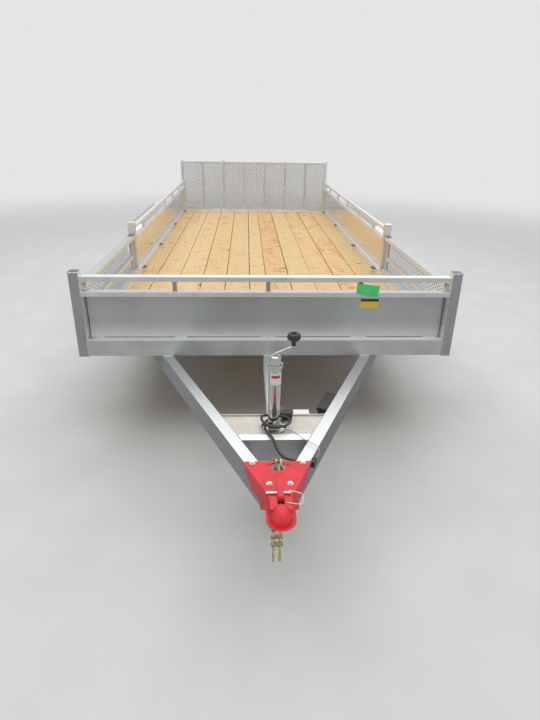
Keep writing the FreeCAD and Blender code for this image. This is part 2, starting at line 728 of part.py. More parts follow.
def coupler_latch():
    """Pressed lever on the top plate, its tongue down through the slot and the pin across it."""
    seat = coupler_top + 0.3
    side = [(lever_y[1], seat), (lever_y[1], seat + lever_h[0]), (latch_pin_y, seat + lever_h[1]),
            (lever_y[0], seat + lever_h[1]), (lever_y[0] - 6, coupler_top), (lever_y[0] - 6, catch_z),
            (lever_y[0] + 3, catch_z), (lever_y[0] + 3, seat)]
    lever = face([V(-lever_half, y, z) for y, z in side]).extrude(V(2 * lever_half, 0, 0))
    catch = box((-lever_half, lever_half), (slot_y[0] + 9, lever_y[0] - 6), (catch_z, catch_z + 8))
    pin_z = seat + latch_pin_r
    pin = rod(V(latch_pin_x[0], latch_pin_y, pin_z), V(latch_pin_x[1], latch_pin_y, pin_z), latch_pin_r)
    return joined([lever, catch, pin])


coupler_top = beam_low + coupler_t
ball_z = coupler_top + dome_rise - ball_r - socket_gap - coupler_t
neck_y = wing_y - 34
export("coupler", [coupler()])
export("coupler_latch", [coupler_latch()])


# Jack
def jack_tube():
    """Outer tube through the plate, its flange and the gear head."""
    tube = Part.makeCylinder(jack_r, jack_tube_top - jack_low, V(0, jack_y, jack_low))
    tube = tube.cut(Part.makeCylinder(jack_r - jack_wall, jack_tube_top - jack_low, V(0, jack_y, jack_low)))
    plate_top = beam_low - plate_drop
    flange = Part.makeCylinder(flange_r, flange_t, V(0, jack_y, plate_top))
    flange = flange.cut(Part.makeCylinder(jack_r - 1, flange_t, V(0, jack_y, plate_top)))
    head = Part.makeCylinder(jack_r + 3, head_t, V(0, jack_y, jack_tube_top))
    cap_low, cap_high = jack_tube_top + head_t, jack_head_top - cap_round
    cap = Part.makeCylinder(jack_r - 2, cap_high - cap_low, V(0, jack_y, cap_low))
    top = Part.makeCone(jack_r - 2, jack_r - 2 - cap_round, cap_round, V(0, jack_y, cap_high))
    ear = box((jack_r - 6, jack_r + 5), about(jack_y, 8), (jack_tube_top - 4, jack_tube_top + head_t + 6))
    return joined([tube, flange, head, cap, top, ear])


export("jack_tube", [jack_tube()])
hub = V(0, jack_y, jack_head_top)
bend = V(0, jack_y, jack_head_top + crank_rise)
crank_end = V(knob_x - 3, jack_y, knob_z - 20)
arm = [rod(hub, bend.add(V(0, 0, crank_r)), crank_r + 4), rod(bend, crank_end, crank_r)]
outline = [(0, -22), (9, -22), (9, -6), (18, 0), (26, 7), (knob_r, 13), (knob_r, 19), (23, 27), (15, 30),
           (11, 28), (9, 18), (0, 16)]
knob = face([V(knob_x + r, jack_y, knob_z + z) for r, z in outline]).revolve(V(knob_x, jack_y, 0), Z, 360)
export("jack_crank", [joined(arm + [knob])])
leg_foot = V(0, jack_y, 0)
leg = Part.makeCylinder(leg_r, leg_top - leg_ease, leg_foot.add(V(0, 0, leg_ease)))
leg = leg.fuse(Part.makeCone(leg_r - leg_ease, leg_r, leg_ease, leg_foot))
leg = leg.cut(Part.makeCylinder(caster_pin_r, 2 * leg_r + 2, V(-leg_r - 1, jack_y, caster_pin_z), X))
export("jack_leg", [leg])


inward = V(-1, slope, 0).normalize()
outward = V(1, -slope, 0).normalize()


def tongue_block(face, side, y, length, depth, heights):
    """A box bolted to the inner or outer face of the right-hand tongue member."""
    along = V(slope, 1, 0).normalize()
    seat = V(side(y), y, 0)
    corners = []
    for a, d in ((-0.5, 0), (0.5, 0), (0.5, 1), (-0.5, 1)):
        c = seat.add(V(along).multiply(a * length)).add(V(face).multiply(d * depth))
        corners.append((c.x, c.y))
    return prism(corners, *heights)


# Boxes on the tongue
battery_y = -510.0
battery_l = 160.0
battery_d = 80.0
battery_z = (beam_low - 98, beam_low - 3)
export("battery_box", [tongue_block(inward, tongue_inner, battery_y, battery_l, battery_d, battery_z)])
junction_x = (55.0, 165.0)
junction_d = 60.0
junction_z = (beam_low - 60, beam_low - 12)
export("junction_box", [box(junction_x, (plate_rear, plate_rear + junction_d), junction_z)])


# Wiring: the road plug's cable and the breakaway switch's steel lanyard
cable_r = 5.5
lanyard_r = 1.5
grommet_y = -944.0
grommet_l = 8.0
grommet_z = 504.0
grommet_seat = V(tongue_inner(grommet_y), grommet_y, grommet_z)
cable_start = grommet_seat.add(V(inward).multiply(grommet_l))
rearward = V(slope, 1, 0).normalize()
plug_r = 19.0
plug_l = 66.0
plug_neck = (22.0, 11.0)   # length and radius of its cable boot
plug_y = plate_rear - 28
plug_start = V(14, plug_y, beam_low - plate_drop + plug_r + 0.3)
switch_y = -950.0
switch_l = 34.0
switch_d = 16.0
switch_h = 28.0
switch_z = 504.0
switch_seat = V(tongue_outer(switch_y), switch_y, switch_z)
lanyard_start = switch_seat.add(V(outward).multiply(switch_d / 2)).add(V(rearward).multiply(switch_l / 2))

# x, y, z of the points each route turns at
cable_exit = cable_start.add(V(inward).multiply(22))
cable_route = [tuple(cable_start), tuple(cable_exit), (31, -914, 499), (12, -886, 503), (0, -860, 518),
               (-10, -836, 537), (-21, -804, 534), (-33, -771, 530), (-40, -738, 530), (-36, -702, 533),
               (-6, -677, 539), (33, -680, 546), (63, -704, 550), (68, -738, 551), (44, -766, 549),
               (9, -776, 549), (-26, -764, 552), (-48, -735, 553), (-52, -702, 549), (-48, -672, 543),
               (-22, plug_y, plug_start.z), tuple(plug_start)]
lanyard_exit = lanyard_start.add(V(rearward).multiply(18))
lanyard_route = [tuple(lanyard_start), tuple(lanyard_exit), (167, -908, 515), (164, -892, 530), (148, -876, 535),
                 (130, -856, 531), (115, -831, 528), (100, -804, 527), (82, -778, 526), (60, -760, 526),
                 (34, -754, 526), (6, -757, 526), (-20, -750, 526)]


def cord_tube(route, r, label):
    """Tube along straight runs joined by tangent arcs, each as large as its two runs allow."""
    pts = [V(*p) for p in route]
    edges, at, radii = [], pts[0], []
    for before, corner, after in zip(pts, pts[1:], pts[2:]):
        into, out = corner.sub(before), after.sub(corner)
        turn = into.getAngle(out)
        cut = 0.45 * min(into.Length, out.Length)
        radii.append(cut / math.tan(turn / 2))
        into.normalize()
        out.normalize()
        start, end = corner.sub(V(into).multiply(cut)), corner.add(V(out).multiply(cut))
        bisector = V(out).sub(into).normalize()
        sag = radii[-1] / math.cos(turn / 2) - radii[-1]
        edges.append(Part.makeLine(at, start))
        edges.append(Part.Arc(start, corner.add(V(bisector).multiply(sag)), end).toShape())
        at = end
    edges.append(Part.makeLine(at, pts[-1]))
    path = Part.Wire(edges)
    ring = Part.Wire(Part.makeCircle(r, pts[0], pts[1].sub(pts[0])))
    tube = path.makePipeShell([ring], True, True)
    ratio = tube.Volume / (math.pi * r * r * path.Length)
    print(label, "length", round(path.Length), "volume ratio", round(ratio, 4))
    print(label, "radii", [round(v) for v in radii])
    return tube


export("cable", [cord_tube(cable_route, cable_r, "cable")])
export("lanyard", [cord_tube(lanyard_route, lanyard_r, "lanyard")])
export("cable_grommet", [rod(grommet_seat, cable_start, 10)])
plug_body = plug_start.add(V(plug_neck[0], 0, 0))
plug_end = plug_start.add(V(plug_l, 0, 0))
export("plug", [joined([rod(plug_start, plug_body, plug_neck[1]), rod(plug_body, plug_end, plug_r)])])
switch = tongue_block(outward, tongue_outer, switch_y, switch_l, switch_d, about(switch_z, switch_h / 2))
export("breakaway_switch", [switch])

# Lamps: tail lamps on the rear beam, small side markers on the side beams
lamp_in = 23.0            # tail lamp from the deck's edge
lamp_w = 130.0
lamp_t = 12.0
lamp_z = (deck_z - 80, deck_z - 30)
lamp_x = (deck_half - lamp_in - lamp_w, deck_half - lamp_in)
export("tail_lamps", both(box(lamp_x, (bed_l, bed_l + lamp_t), lamp_z)))
marker_l = 62.0
marker_t = 9.0
marker_h = 24.0
marker_front = 330.0
marker_back = 200.0
markers = []
for y in (marker_front, bed_l - marker_back):
    markers += both(box((side_half, side_half + marker_t), (y, y + marker_l),
                        about((beam_low + beam_top) / 2, marker_h / 2)))
export("marker_lamps", markers)


# Safety chains hang from one long link that stands in the coupler's hole
link_wire = 7.0
link_half_l = 17.0
link_half_w = 12.5
link_corner = 5.0
link_pitch = 2 * (link_half_l - link_wire) - 0.3
link_count = 18
strand_x = 13.0
hook_bow = [(4, -30), (-4.4, -40.9), (-7, -48), (-3.8, -55.8), (4, -59), (11.8, -55.8), (15, -48),
            (13.5, -42.5), (20.5, -38.5), (23, -48), (17.4, -61.4), (4, -67), (-9.4, -61.4), (-15, -48),
            (-10.6, -35.8), (-5, -28)]


def plate_of(outer, inner):
    """A ring cut from plate as thick as the link's wire, standing across Y."""
    rings = [face([V(px, -link_wire / 2, pz) for px, pz in outline]) for outline in (outer, inner)]
    return rings[0].cut(rings[1]).extrude(V(0, link_wire, 0))


def link(centre, turn, hook=False):
    """One welded link, or the hook that ends a strand, turned about the vertical."""
    l, w, c = link_half_l, link_half_w, link_corner
    if hook:
        outer = [(c - w, l), (w - c, l), (w, l - c), (w, -9), (5, -l)]
        outer += hook_bow + [(-5, -l), (-w, -9), (-w, l - c)]
        low = -6
    else:
        outer = [(w, c - l), (w, l - c), (w - c, l), (c - w, l)]
        outer += [(-x, -z) for x, z in outer]
        low = link_wire - l
    hole_w, hole_l = w - link_wire, l - link_wire
    body = plate_of(outer, [(-hole_w, low), (hole_w, low), (hole_w, hole_l), (-hole_w, hole_l)])
    body.rotate(V(0, 0, 0), Z, turn)
    body.translate(centre)
    return body


def pear_link(foot, tilt):
    """The long link: narrow at its top, wide where both chains hang from it."""
    h = 34.0
    outer = [(27, -h), (32, 5 - h), (12, 0), (11, h - 5), (6, h)]
    inner = [(25, 7 - h), (24, 10 - h), (5, 0), (4, h - 7)]
    outer, inner = [half + [(-x, z) for x, z in half[::-1]] for half in (outer, inner)]
    body = plate_of(*[[(px, pz + h - link_wire / 2) for px, pz in o] for o in (outer, inner)])
    body.rotate(V(0, 0, 0), X, tilt)
    body.translate(foot)
    return body


pear_foot = V(4, chain_hole_y - 4.8, beam_low - 22)
chain_links = []
for strand in (-1, 1):
    for i in range(link_count + 1):
        at = V(pear_foot.x + strand * strand_x, pear_foot.y, pear_foot.z - 4.8 - i * link_pitch)
        chain_links.append(link(at, 90 * ((i + 1) % 2), i == link_count))
pear = pear_link(pear_foot, -38)
near = min(pear.distToShape(piece)[0] for piece in chain_links)
print("pear to coupler", round(pear.distToShape(coupler())[0], 2), "to chain", round(near, 2))
export("safety_chains", chain_links + [pear])

print("length", rear_y - nose_y, "mid_y", mid_y)
print("axes", gate_axis, leaf_axis, ramp_axis)
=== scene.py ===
"""Tandem-axle utility trailer, welded from mill-finish aluminium tube round a deck of bare planks.
Sheet closes its front and sides, expanded mesh its gate and side ramps, and the red steel coupler is bolted
to the tongue. A small shop made it: beads and scuffs show, and only the coupler is painted."""
import bmesh
import bpy
import math
import random
from mathutils import Matrix, Vector


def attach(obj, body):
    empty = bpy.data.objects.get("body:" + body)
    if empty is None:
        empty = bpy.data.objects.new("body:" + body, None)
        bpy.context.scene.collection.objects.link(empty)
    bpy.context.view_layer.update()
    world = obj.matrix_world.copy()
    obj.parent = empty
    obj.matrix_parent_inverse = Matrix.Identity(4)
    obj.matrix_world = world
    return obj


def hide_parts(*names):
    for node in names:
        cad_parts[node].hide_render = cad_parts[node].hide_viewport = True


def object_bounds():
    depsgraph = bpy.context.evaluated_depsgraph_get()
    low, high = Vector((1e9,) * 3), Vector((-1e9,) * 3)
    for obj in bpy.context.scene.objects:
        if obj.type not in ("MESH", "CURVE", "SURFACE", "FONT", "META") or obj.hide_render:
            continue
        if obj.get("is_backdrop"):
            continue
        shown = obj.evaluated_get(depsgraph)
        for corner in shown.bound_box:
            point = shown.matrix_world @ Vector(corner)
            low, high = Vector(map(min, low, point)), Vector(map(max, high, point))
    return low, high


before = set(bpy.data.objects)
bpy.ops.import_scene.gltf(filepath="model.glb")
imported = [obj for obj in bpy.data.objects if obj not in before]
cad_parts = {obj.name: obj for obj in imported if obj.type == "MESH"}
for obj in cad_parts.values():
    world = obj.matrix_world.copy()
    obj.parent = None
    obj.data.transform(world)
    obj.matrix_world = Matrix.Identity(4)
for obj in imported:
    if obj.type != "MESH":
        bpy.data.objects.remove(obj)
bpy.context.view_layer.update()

# The camera stands at eye height in front of the coupler and is tipped down at the deck.
# The whole trailer lies ahead of it along +Y, a little to the right of the lens.
camera = bpy.data.objects.new("camera", bpy.data.cameras.new("camera"))
camera.data.sensor_width = 36.0
camera.data.lens = 25.77
aim = Matrix.Rotation(-0.049, 4, "Z") @ Matrix.Rotation(-0.427, 4, "X") @ Matrix.Rotation(-0.017, 4, "Y")
stand = Matrix.Translation((-0.1106, -4.4292, 1.6567))
camera.matrix_world = stand @ aim @ Matrix.Rotation(math.pi / 2, 4, "X")
bpy.context.scene.collection.objects.link(camera)
bpy.context.scene.camera = camera
bpy.context.scene.view_settings.view_transform = "Standard"


# The studio: a painted floor sheet that fades into an even pale surround, under one wide soft box.
# The floor holds the trailer's shadow and ends 12 m out, where nothing of it is left to see.
def linear(colour):
    """An sRGB hex colour as the linear RGBA that a socket takes."""
    parts = [int(colour[i:i + 2], 16) / 255 for i in (1, 3, 5)]
    return [p / 12.92 if p <= 0.04045 else ((p + 0.055) / 1.055) ** 2.4 for p in parts] + [1.0]


def add(tree, kind, settings=None, inputs=None, stops=(), to=None):
    """Adds a shader node with its settings, inputs (values or sockets) and ramp stops, and links it on."""
    made = tree.nodes.new("ShaderNode" + kind)
    for name, value in (settings or {}).items():
        setattr(made, name, value)
    for name, value in (inputs or {}).items():
        if isinstance(value, bpy.types.NodeSocket):
            tree.links.new(value, made.inputs[name])
        else:
            made.inputs[name].default_value = value
    if stops:
        ramp = made.color_ramp.elements
        ramp[0].position, ramp[1].position = stops[0][0], stops[-1][0]
        for place, colour in stops[1:-1]:
            ramp.new(place)
        for element, (place, colour) in zip(ramp, stops):
            element.color = linear(colour)
    if to is not None:
        tree.links.new(made.outputs[0], to)
    return made


def finish_of(name, **values):
    """A new material, its tree, its shader's sockets and its place in metres; values go by socket name."""
    made = bpy.data.materials.new(name)
    made.use_nodes = True
    shader = made.node_tree.nodes["Principled BSDF"]
    for key, value in values.items():
        shader.inputs[key.replace("_", " ").title()].default_value = value
    return made, made.node_tree, shader.inputs, add(made.node_tree, "TexCoord").outputs["Object"]


def clouded(name, scale, stops, detail=4.0, gloss=(), relief=0.0, **values):
    """A material whose colour, and where given its gloss and relief, follow one cloudy pattern.
    The scale is in repeats a metre."""
    made, tree, sockets, place = finish_of(name, **values)
    cloud = add(tree, "TexNoise", inputs={"Vector": place, "Scale": scale, "Detail": detail}).outputs["Fac"]
    add(tree, "ValToRGB", inputs={"Fac": cloud}, stops=stops, to=sockets["Base Color"])
    if gloss:
        add(tree, "MapRange", inputs={"Value": cloud, "To Min": gloss[0], "To Max": gloss[1]},
            to=sockets["Roughness"])
    if relief:
        add(tree, "Bump", inputs={"Height": cloud, "Distance": relief, "Strength": 0.4}, to=sockets["Normal"])
    return made


def meshed(name, shape, *finishes, smooth=40):
    """A bmesh as a new object with its materials, shaded smooth below an angle."""
    data = bpy.data.meshes.new(name)
    bmesh.ops.recalc_face_normals(shape, faces=shape.faces[:])
    shape.to_mesh(data)
    shape.free()
    for finish in finishes:
        data.materials.append(finish)
    data.shade_smooth()
    data.set_sharp_from_angle(angle=math.radians(smooth))
    made = bpy.data.objects.new(name, data)
    bpy.context.scene.collection.objects.link(made)
    return made


# Matt floor paint, rolled on: no gloss, and a mottle in patches of 330 mm that is only just seen.
paint = clouded("matt_floor_paint", 3.0, ((0.3, "#C9C9C7"), (0.7, "#CFCFCD")), detail=5.0, roughness=0.9)
tree = paint.node_tree
reach = add(tree, "VectorMath", {"operation": "LENGTH"}, {0: add(tree, "TexCoord").outputs["Object"]})
fade = add(tree, "MapRange", {"interpolation_type": "SMOOTHSTEP"},
           {"Value": reach.outputs["Value"], "From Min": 4.0, "From Max": 11.0})
clear = add(tree, "BsdfTransparent")
painted = tree.nodes["Principled BSDF"].outputs[0]
add(tree, "MixShader", inputs={0: fade.outputs["Result"], 1: painted, 2: clear.outputs[0]},
    to=tree.nodes["Material Output"].inputs["Surface"])
ground = bmesh.new()
bmesh.ops.create_circle(ground, cap_ends=True, segments=96, radius=12.0)
floor = meshed("floor", ground, paint)
floor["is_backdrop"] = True

lamp = bpy.data.lights.new("overhead_softbox", "AREA")
lamp.shape, lamp.size, lamp.size_y, lamp.energy = "RECTANGLE", 9.0, 12.0, 540.0
softbox = bpy.data.objects.new("overhead_softbox", lamp)
softbox.location = (0.0, 0.0, 6.0)
bpy.context.scene.collection.objects.link(softbox)
world = bpy.data.worlds.new("surround")
bpy.context.scene.world = world
world.use_nodes = True
tree = world.node_tree
seen = add(tree, "LightPath")
straight = add(tree, "Math", {"operation": "MAXIMUM"},
               {0: seen.outputs["Is Camera Ray"], 1: seen.outputs["Is Glossy Ray"]})
straight = add(tree, "Math", {"operation": "MAXIMUM"},
               {0: straight.outputs[0], 1: seen.outputs["Is Transmission Ray"]})
tone = add(tree, "Mix", {"data_type": "RGBA"},
           {0: straight.outputs[0], 6: linear("#B4B6B8"), 7: linear("#E4E5E6")})
tree.links.new(tone.outputs[2], tree.nodes["Background"].inputs["Color"])


# Frame and tongue: square and rectangular aluminium tube, cut, set up square and MIG-welded.
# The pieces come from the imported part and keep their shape; only their edges are eased, as drawn tube's are.
def at(x, y, z):
    """Millimetres behind the front wall's face and above the ground, as metres of the row frame."""
    return Vector((x / 1000, (y - 1878.5) / 1000, z / 1000))


def dress(finish, *names, edge=0.0016):
    """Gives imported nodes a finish, with their edges eased as the real stock's are."""
    for name in names:
        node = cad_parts[name]
        node.data.materials.clear()
        node.data.materials.append(finish)
        node.data.shade_smooth()
        node.modifiers.new("join", "WELD").merge_threshold = 1e-5
        eased = node.modifiers.new("edge", "BEVEL")
        eased.width, eased.segments, eased.limit_method = edge, 2, "ANGLE"
        eased.angle_limit = math.radians(38)
        node.modifiers.new("flat faces", "WEIGHTED_NORMAL").weight = 70


def stretched(tree, place, repeats, detail, roughness=0.5, turn=0.0):
    """A noise drawn out one way, as a die, rolls or growth do; repeats a metre along X, Y and Z."""
    drawn = add(tree, "Mapping", inputs={"Vector": place, "Scale": repeats, "Rotation": (0.0, 0.0, turn)})
    return add(tree, "TexNoise", inputs={"Vector": drawn.outputs[0], "Scale": 1.0, "Detail": detail,
                                         "Roughness": roughness})


# Mill-finish aluminium, pressed hot through a die: a satin grey metal whose reflections stretch across the
# fine lines that the die leaves along each length, with smudges of 140 mm that dull it all. Sides facing along
# X
# and faces turned up get greys of their own, painted light and painted shade for how the light falls on them:
# lighter on some runs, darker on others. Scales are repeats a metre: real die lines stand 0.2 mm apart, too
# fine to show, so they are drawn 1.7 mm apart and 250 mm long.
line, length = 600.0, 4.0
die_x, die_y, die_z = (length, line, line), (line, length, line), (line, line, length)
tongue_turn = -0.4247
extrusion = {}
for run, turn, die_lines, spread, bright, dull, greys, painted_side_light, top in (
        ("x", 0.0, die_x, (0.12, 0.5, 1.0), 0.36, 0.50,
         ("#A6A8A9", "#B2B4B4", "#B9BAB9"), "#B6B7B6", "#E6E6E3"),
        ("rail", 0.0, die_x, (0.12, 0.5, 1.0), 0.48, 0.60,
         ("#BBBCBC", "#C6C7C7", "#CFCFCE"), "#DCDBD6", "#CBCBC8"),
        ("y", 0.0, die_y, (1.0, 0.12, 0.6), 0.52, 0.66,
         ("#C2C3C3", "#CFD0D0", "#D6D7D5"), "#F5F5F4", "#E6E7E6"),
        ("ramp", 0.0, die_y, (1.0, 0.12, 0.6), 0.52, 0.66,
         ("#C2C3C3", "#CFD0D0", "#D6D7D5"), "#EDEDEB", "#C6C8C8"),
        ("z", 0.0, die_z, (1.0, 0.6, 0.12), 0.44, 0.58,
         ("#999B9C", "#A4A6A6", "#ACADAC"), "#EBEAE7", "#75787A"),
        # The gate's greys are painted light: a paler copy of the tube, for the light that its bars catch from
        # the deck.
        ("gate", 0.0, die_z, (0.6, 1.0, 0.12), 0.66, 0.80,
         ("#E3E3E1", "#EBEBE9", "#F0F0EE"), "#E6E5E1", "#E4E4E1"),
        ("tongue", tongue_turn, die_y, (1.0, 0.1, 0.6), 0.40, 0.54,
         ("#A3A5A6", "#AEB0B0", "#B6B7B6"), "#8C8E8F", "#DEE0E1")):
    metal, tree, sockets, place = finish_of("mill_aluminium_along_" + run, metallic=1.0, anisotropic=0.6)
    both_members = add(tree, "VectorMath", {"operation": "ABSOLUTE"}, {0: place}).outputs[0]
    die = stretched(tree, both_members if turn else place, die_lines, 3.0, turn=turn)
    smudge = add(tree, "TexNoise", inputs={"Vector": place, "Scale": 7.0, "Detail": 8.0, "Roughness": 0.62})
    grey = add(tree, "ValToRGB", inputs={"Fac": smudge.outputs["Fac"]},
               stops=((0.32, greys[0]), (0.52, greys[1]), (0.72, greys[2]))).outputs[0]
    facing = add(tree, "SeparateXYZ", inputs={"Vector": add(tree, "TexCoord").outputs["Normal"]})
    across = add(tree, "Math", {"operation": "ABSOLUTE"}, {0: facing.outputs["X"]})
    # Painted light and painted shade: sides facing along X and faces turned up are mixed to their own greys.
    for way, colour in ((across.outputs[0], painted_side_light), (facing.outputs["Z"], top)):
        turned = add(tree, "MapRange", inputs={"Value": way, "From Min": 0.6, "From Max": 0.9})
        grey = add(tree, "Mix", {"data_type": "RGBA"},
                   {0: turned.outputs[0], 6: grey, 7: linear(colour)}).outputs[2]
    if run == "z":
        # The posts behind the front wall are given a paler grey than the posts in it.
        apart = add(tree, "SeparateXYZ", inputs={"Vector": place})
        behind = add(tree, "MapRange",
                     inputs={"Value": apart.outputs["Y"], "From Min": -1.7, "From Max": -1.5}).outputs[0]
        grey = add(tree, "Mix", {"data_type": "RGBA"}, {0: behind, 6: grey, 7: linear("#E2E1DC")}).outputs[2]
    tree.links.new(grey, sockets["Base Color"])
    sheen = add(tree, "MapRange", inputs={"Value": die.outputs["Fac"], "From Min": 0.3, "From Max": 0.7,
                                          "To Min": bright, "To Max": dull})
    add(tree, "Math", {"operation": "MULTIPLY_ADD"}, {0: smudge.outputs["Fac"], 1: 0.16, 2: sheen.outputs[0]},
        to=sockets["Roughness"])
    add(tree, "CombineXYZ", inputs=dict(zip("XYZ", spread)), to=sockets["Tangent"])
    add(tree, "Bump", inputs={"Height": die.outputs["Fac"], "Distance": 0.00012, "Strength": 0.5},
        to=sockets["Normal"])
    extrusion[run] = metal
dress(extrusion["x"], "front_beam", "rear_beam", "cross_tube", "crossmembers")
dress(extrusion["y"], "side_beams", "lower_rails", "tongue_centre")
dress(extrusion["tongue"], "tongue_members")


# Jack plate: 6 mm aluminium plate, hot rolled, sheared to a trapezoid and welded between the tongue members.
# Its mill finish is warm grey from hands, chain and cable, in greasy smears of 70 mm: blunt reflections in
# rolling lines, drawn 3.8 mm apart as the real ones are too fine to show.
plate, tree, sockets, place = finish_of("mill_aluminium_plate", metallic=1.0)
roll = stretched(tree, place, (5.0, 260.0, 260.0), 4.0)
smear = add(tree, "TexNoise", inputs={"Vector": place, "Scale": 14.0, "Detail": 7.0, "Roughness": 0.7})
add(tree, "ValToRGB", inputs={"Fac": smear.outputs["Fac"]},
    stops=((0.3, "#B2AEA6"), (0.55, "#BDB9B1"), (0.8, "#C7C4BD")), to=sockets["Base Color"])
add(tree, "MapRange", inputs={"Value": roll.outputs["Fac"], "To Min": 0.5, "To Max": 0.65},
    to=sockets["Roughness"])
dress(plate, "jack_plate")


# Posts, rails and uprights: 50 mm square posts with welded caps, and 25 mm rails let in between them.
# They are the same mill-finish tube as the frame, in upright and lengthwise runs.
dress(extrusion["z"], "posts", "rail_uprights")
dress(extrusion["rail"], "front_rails", edge=0.0022)
dress(extrusion["y"], "side_rails", edge=0.0022)


# Panels: 3 mm aluminium sheet, tacked along its foot, so that a gap stays between the tacks and at the ends;
# the shade in that gap is painted on the sheet as a near-black line. The front one is dull from handling; the
# side ones are new and mirror the deck's warm colour inwards.
slit_x, slit_half = 0.9435, 0.0018
foot_z, foot_half = 0.6123, 0.0016
for place_word, node, pull, greys, painted_foot_glow, low, high in (
        ("front", "front_panel", 0.75, ("#9EA0A0", "#A7A9A9", "#AEAFAE"), "#C6C8C7", 0.36, 0.46),
        ("side", "side_panels", 0.2, ("#E6E6E5", "#EDEDEB", "#F1F1EF"), "#EDEDEB", 0.13, 0.22)):
    # Cold-rolled aluminium sheet: smoother than the tube, with clouds of 380 mm, and a paler foot that is a
    # painted reflection of the bright tongue and beam below it. Its rolling lines, drawn 4.5 mm apart so that
    # they show, pull a reflection upwards.
    sheet, tree, sockets, place = finish_of("aluminium_sheet_" + place_word, metallic=1.0, anisotropic=pull)
    roll = stretched(tree, place, (3.0, 3.0, 220.0), 4.0)
    smear = add(tree, "TexNoise", inputs={"Vector": place, "Scale": 2.6, "Detail": 7.0, "Roughness": 0.6})
    grey = add(tree, "ValToRGB", inputs={"Fac": smear.outputs["Fac"]},
               stops=((0.35, greys[0]), (0.55, greys[1]), (0.75, greys[2]))).outputs[0]
    apart = add(tree, "SeparateXYZ", inputs={"Vector": place})
    side = add(tree, "Math", {"operation": "ABSOLUTE"}, {0: apart.outputs["X"]})
    # Painted shade: a near-black line along the sheet's foot and at its ends, where the gap is.
    slit = add(tree, "Math", {"operation": "COMPARE"}, {0: side.outputs[0], 1: slit_x, 2: slit_half})
    foot = add(tree, "Math", {"operation": "COMPARE"}, {0: apart.outputs["Z"], 1: foot_z, 2: foot_half})
    gap = add(tree, "Math", {"operation": "MAXIMUM"}, {0: slit.outputs[0], 1: foot.outputs[0]})
    # Painted reflection: the sheet turns paler towards its foot, for the bright tongue and beam that it
    # mirrors.
    painted_glow_mask = add(tree, "MapRange", inputs={"Value": apart.outputs["Z"], "From Min": 0.70, "From Max": 0.615})
    grey = add(tree, "Mix", {"data_type": "RGBA"},
               {0: painted_glow_mask.outputs[0], 6: grey, 7: linear(painted_foot_glow)}).outputs[2]
    dark = add(tree, "Mix", {"data_type": "RGBA"}, {0: gap.outputs[0], 6: grey, 7: linear("#141414")})
    tree.links.new(dark.outputs[2], sockets["Base Color"])
    add(tree, "MapRange", inputs={"Value": roll.outputs["Fac"], "To Min": low, "To Max": high},
        to=sockets["Roughness"])
    add(tree, "CombineXYZ", inputs={"X": 0.2, "Y": 0.25, "Z": 1.0}, to=sockets["Tangent"])
    dress(sheet, node, edge=0.0008)


# Weld beads: MIG runs about 7 mm wide, bright and rippled, on every joint that shows.
# Each entry is the start and the end of a run in millimetres, on the line where two pieces meet.
def sweep(shape, path, radius, sides=8, closed=False, finish=0):
    """Adds a round bar along a path; the radius may be a list with one for each point."""
    path = [Vector(point) for point in path]
    radii = radius if isinstance(radius, list) else [radius] * len(path)
    rings, side = [], None
    for i, point in enumerate(path):
        before = path[i - 1] if i or closed else point
        after = path[(i + 1) % len(path)] if i + 1 < len(path) or closed else point
        along = (after - before).normalized()
        side = side or along.orthogonal()
        side = (side - along * side.dot(along)).normalized()
        up = along.cross(side)
        turns = [2 * math.pi * k / sides for k in range(sides)]
        rings.append([shape.verts.new(point + (side * math.cos(a) + up * math.sin(a)) * radii[i])
                      for a in turns])
    faces = []
    for one, two in zip(rings, rings[1:] + rings[:1] if closed else rings[1:]):
        for k in range(sides):
            faces.append(shape.faces.new((one[k], one[(k + 1) % sides], two[(k + 1) % sides], two[k])))
    if not closed:
        faces += [shape.faces.new(rings[0][::-1]), shape.faces.new(rings[-1])]
    for new in faces:
        new.material_index = finish


# Aluminium filler wire, melted under gas: brighter than the tube, with grey soot in spots of 8 mm.
soot_to_bright = ((0.35, "#9FA0A0"), (0.55, "#CDCDCB"), (0.75, "#DDDDDB"))
weld_metal = clouded("weld_bead_aluminium", 120.0, soot_to_bright, metallic=1.0, roughness=0.36)
tie_down_y = (110, 1630, 2510, 3630, 4630)
runs = []
for x0, x1 in ((-940, -868), (-504, -430), (-38, 40), (452, 546), (856, 940)):
    runs.append(((x0, 45.5, 612.5), (x1, 45.5, 612.5)))
for side in (-1, 1):
    for z0, z1 in ((931, 954), (851, 874), (524, 609)):
        runs.append(((side * 953, 0.8, z0), (side * 953, 0.8, z1)))
    runs.append(((side * 953, 0.5, 974.5), (side * 1003, 0.5, 974.5)))
    runs.append(((side * 507, 0.5, 521), (side * 562, 0.5, 521)))
    runs.append(((side * 134, -823, 522), (side * 152, -784, 522)))
    runs.append(((side * 154, -782, 514.5), (side * 224, -626, 514.5)))
    for y in (1428, 1478, 4927):
        runs.append(((side * 955, y, 611.5), (side * 1001, y, 611.5)))
    runs.append(((side * 953, 1430, 611.5), (side * 953, 1476, 611.5)))
    runs.append(((side * 953, 4929, 611.5), (side * 953, 4975, 611.5)))
    for top in (955, 875):
        runs.append(((side * 952.6, 3, top + 0.5), (side * 952.6, 44, top + 0.5)))
        for y in (1478, 4927):
            runs.append(((side * 953.4, y, top - 24), (side * 953.4, y, top - 1)))
            runs.append(((side * 955, y, top), (side * 979, y, top)))
    for y in range(1520, 4900, 560):
        runs.append(((side * 980.5, y, 611.5), (side * 980.5, y + 60, 611.5)))
    for y in tie_down_y:
        for end in (-27, 27):
            for z in (598, 588):
                runs.append(((side * 952.6, y + end - 8, z), (side * 952.6, y + end + 8, z)))
    for i in range(3, 12):
        for y in (i * 425 - 19, i * 425 + 19):
            runs.append(((side * 953, y, 448), (side * 953, y, 520)))
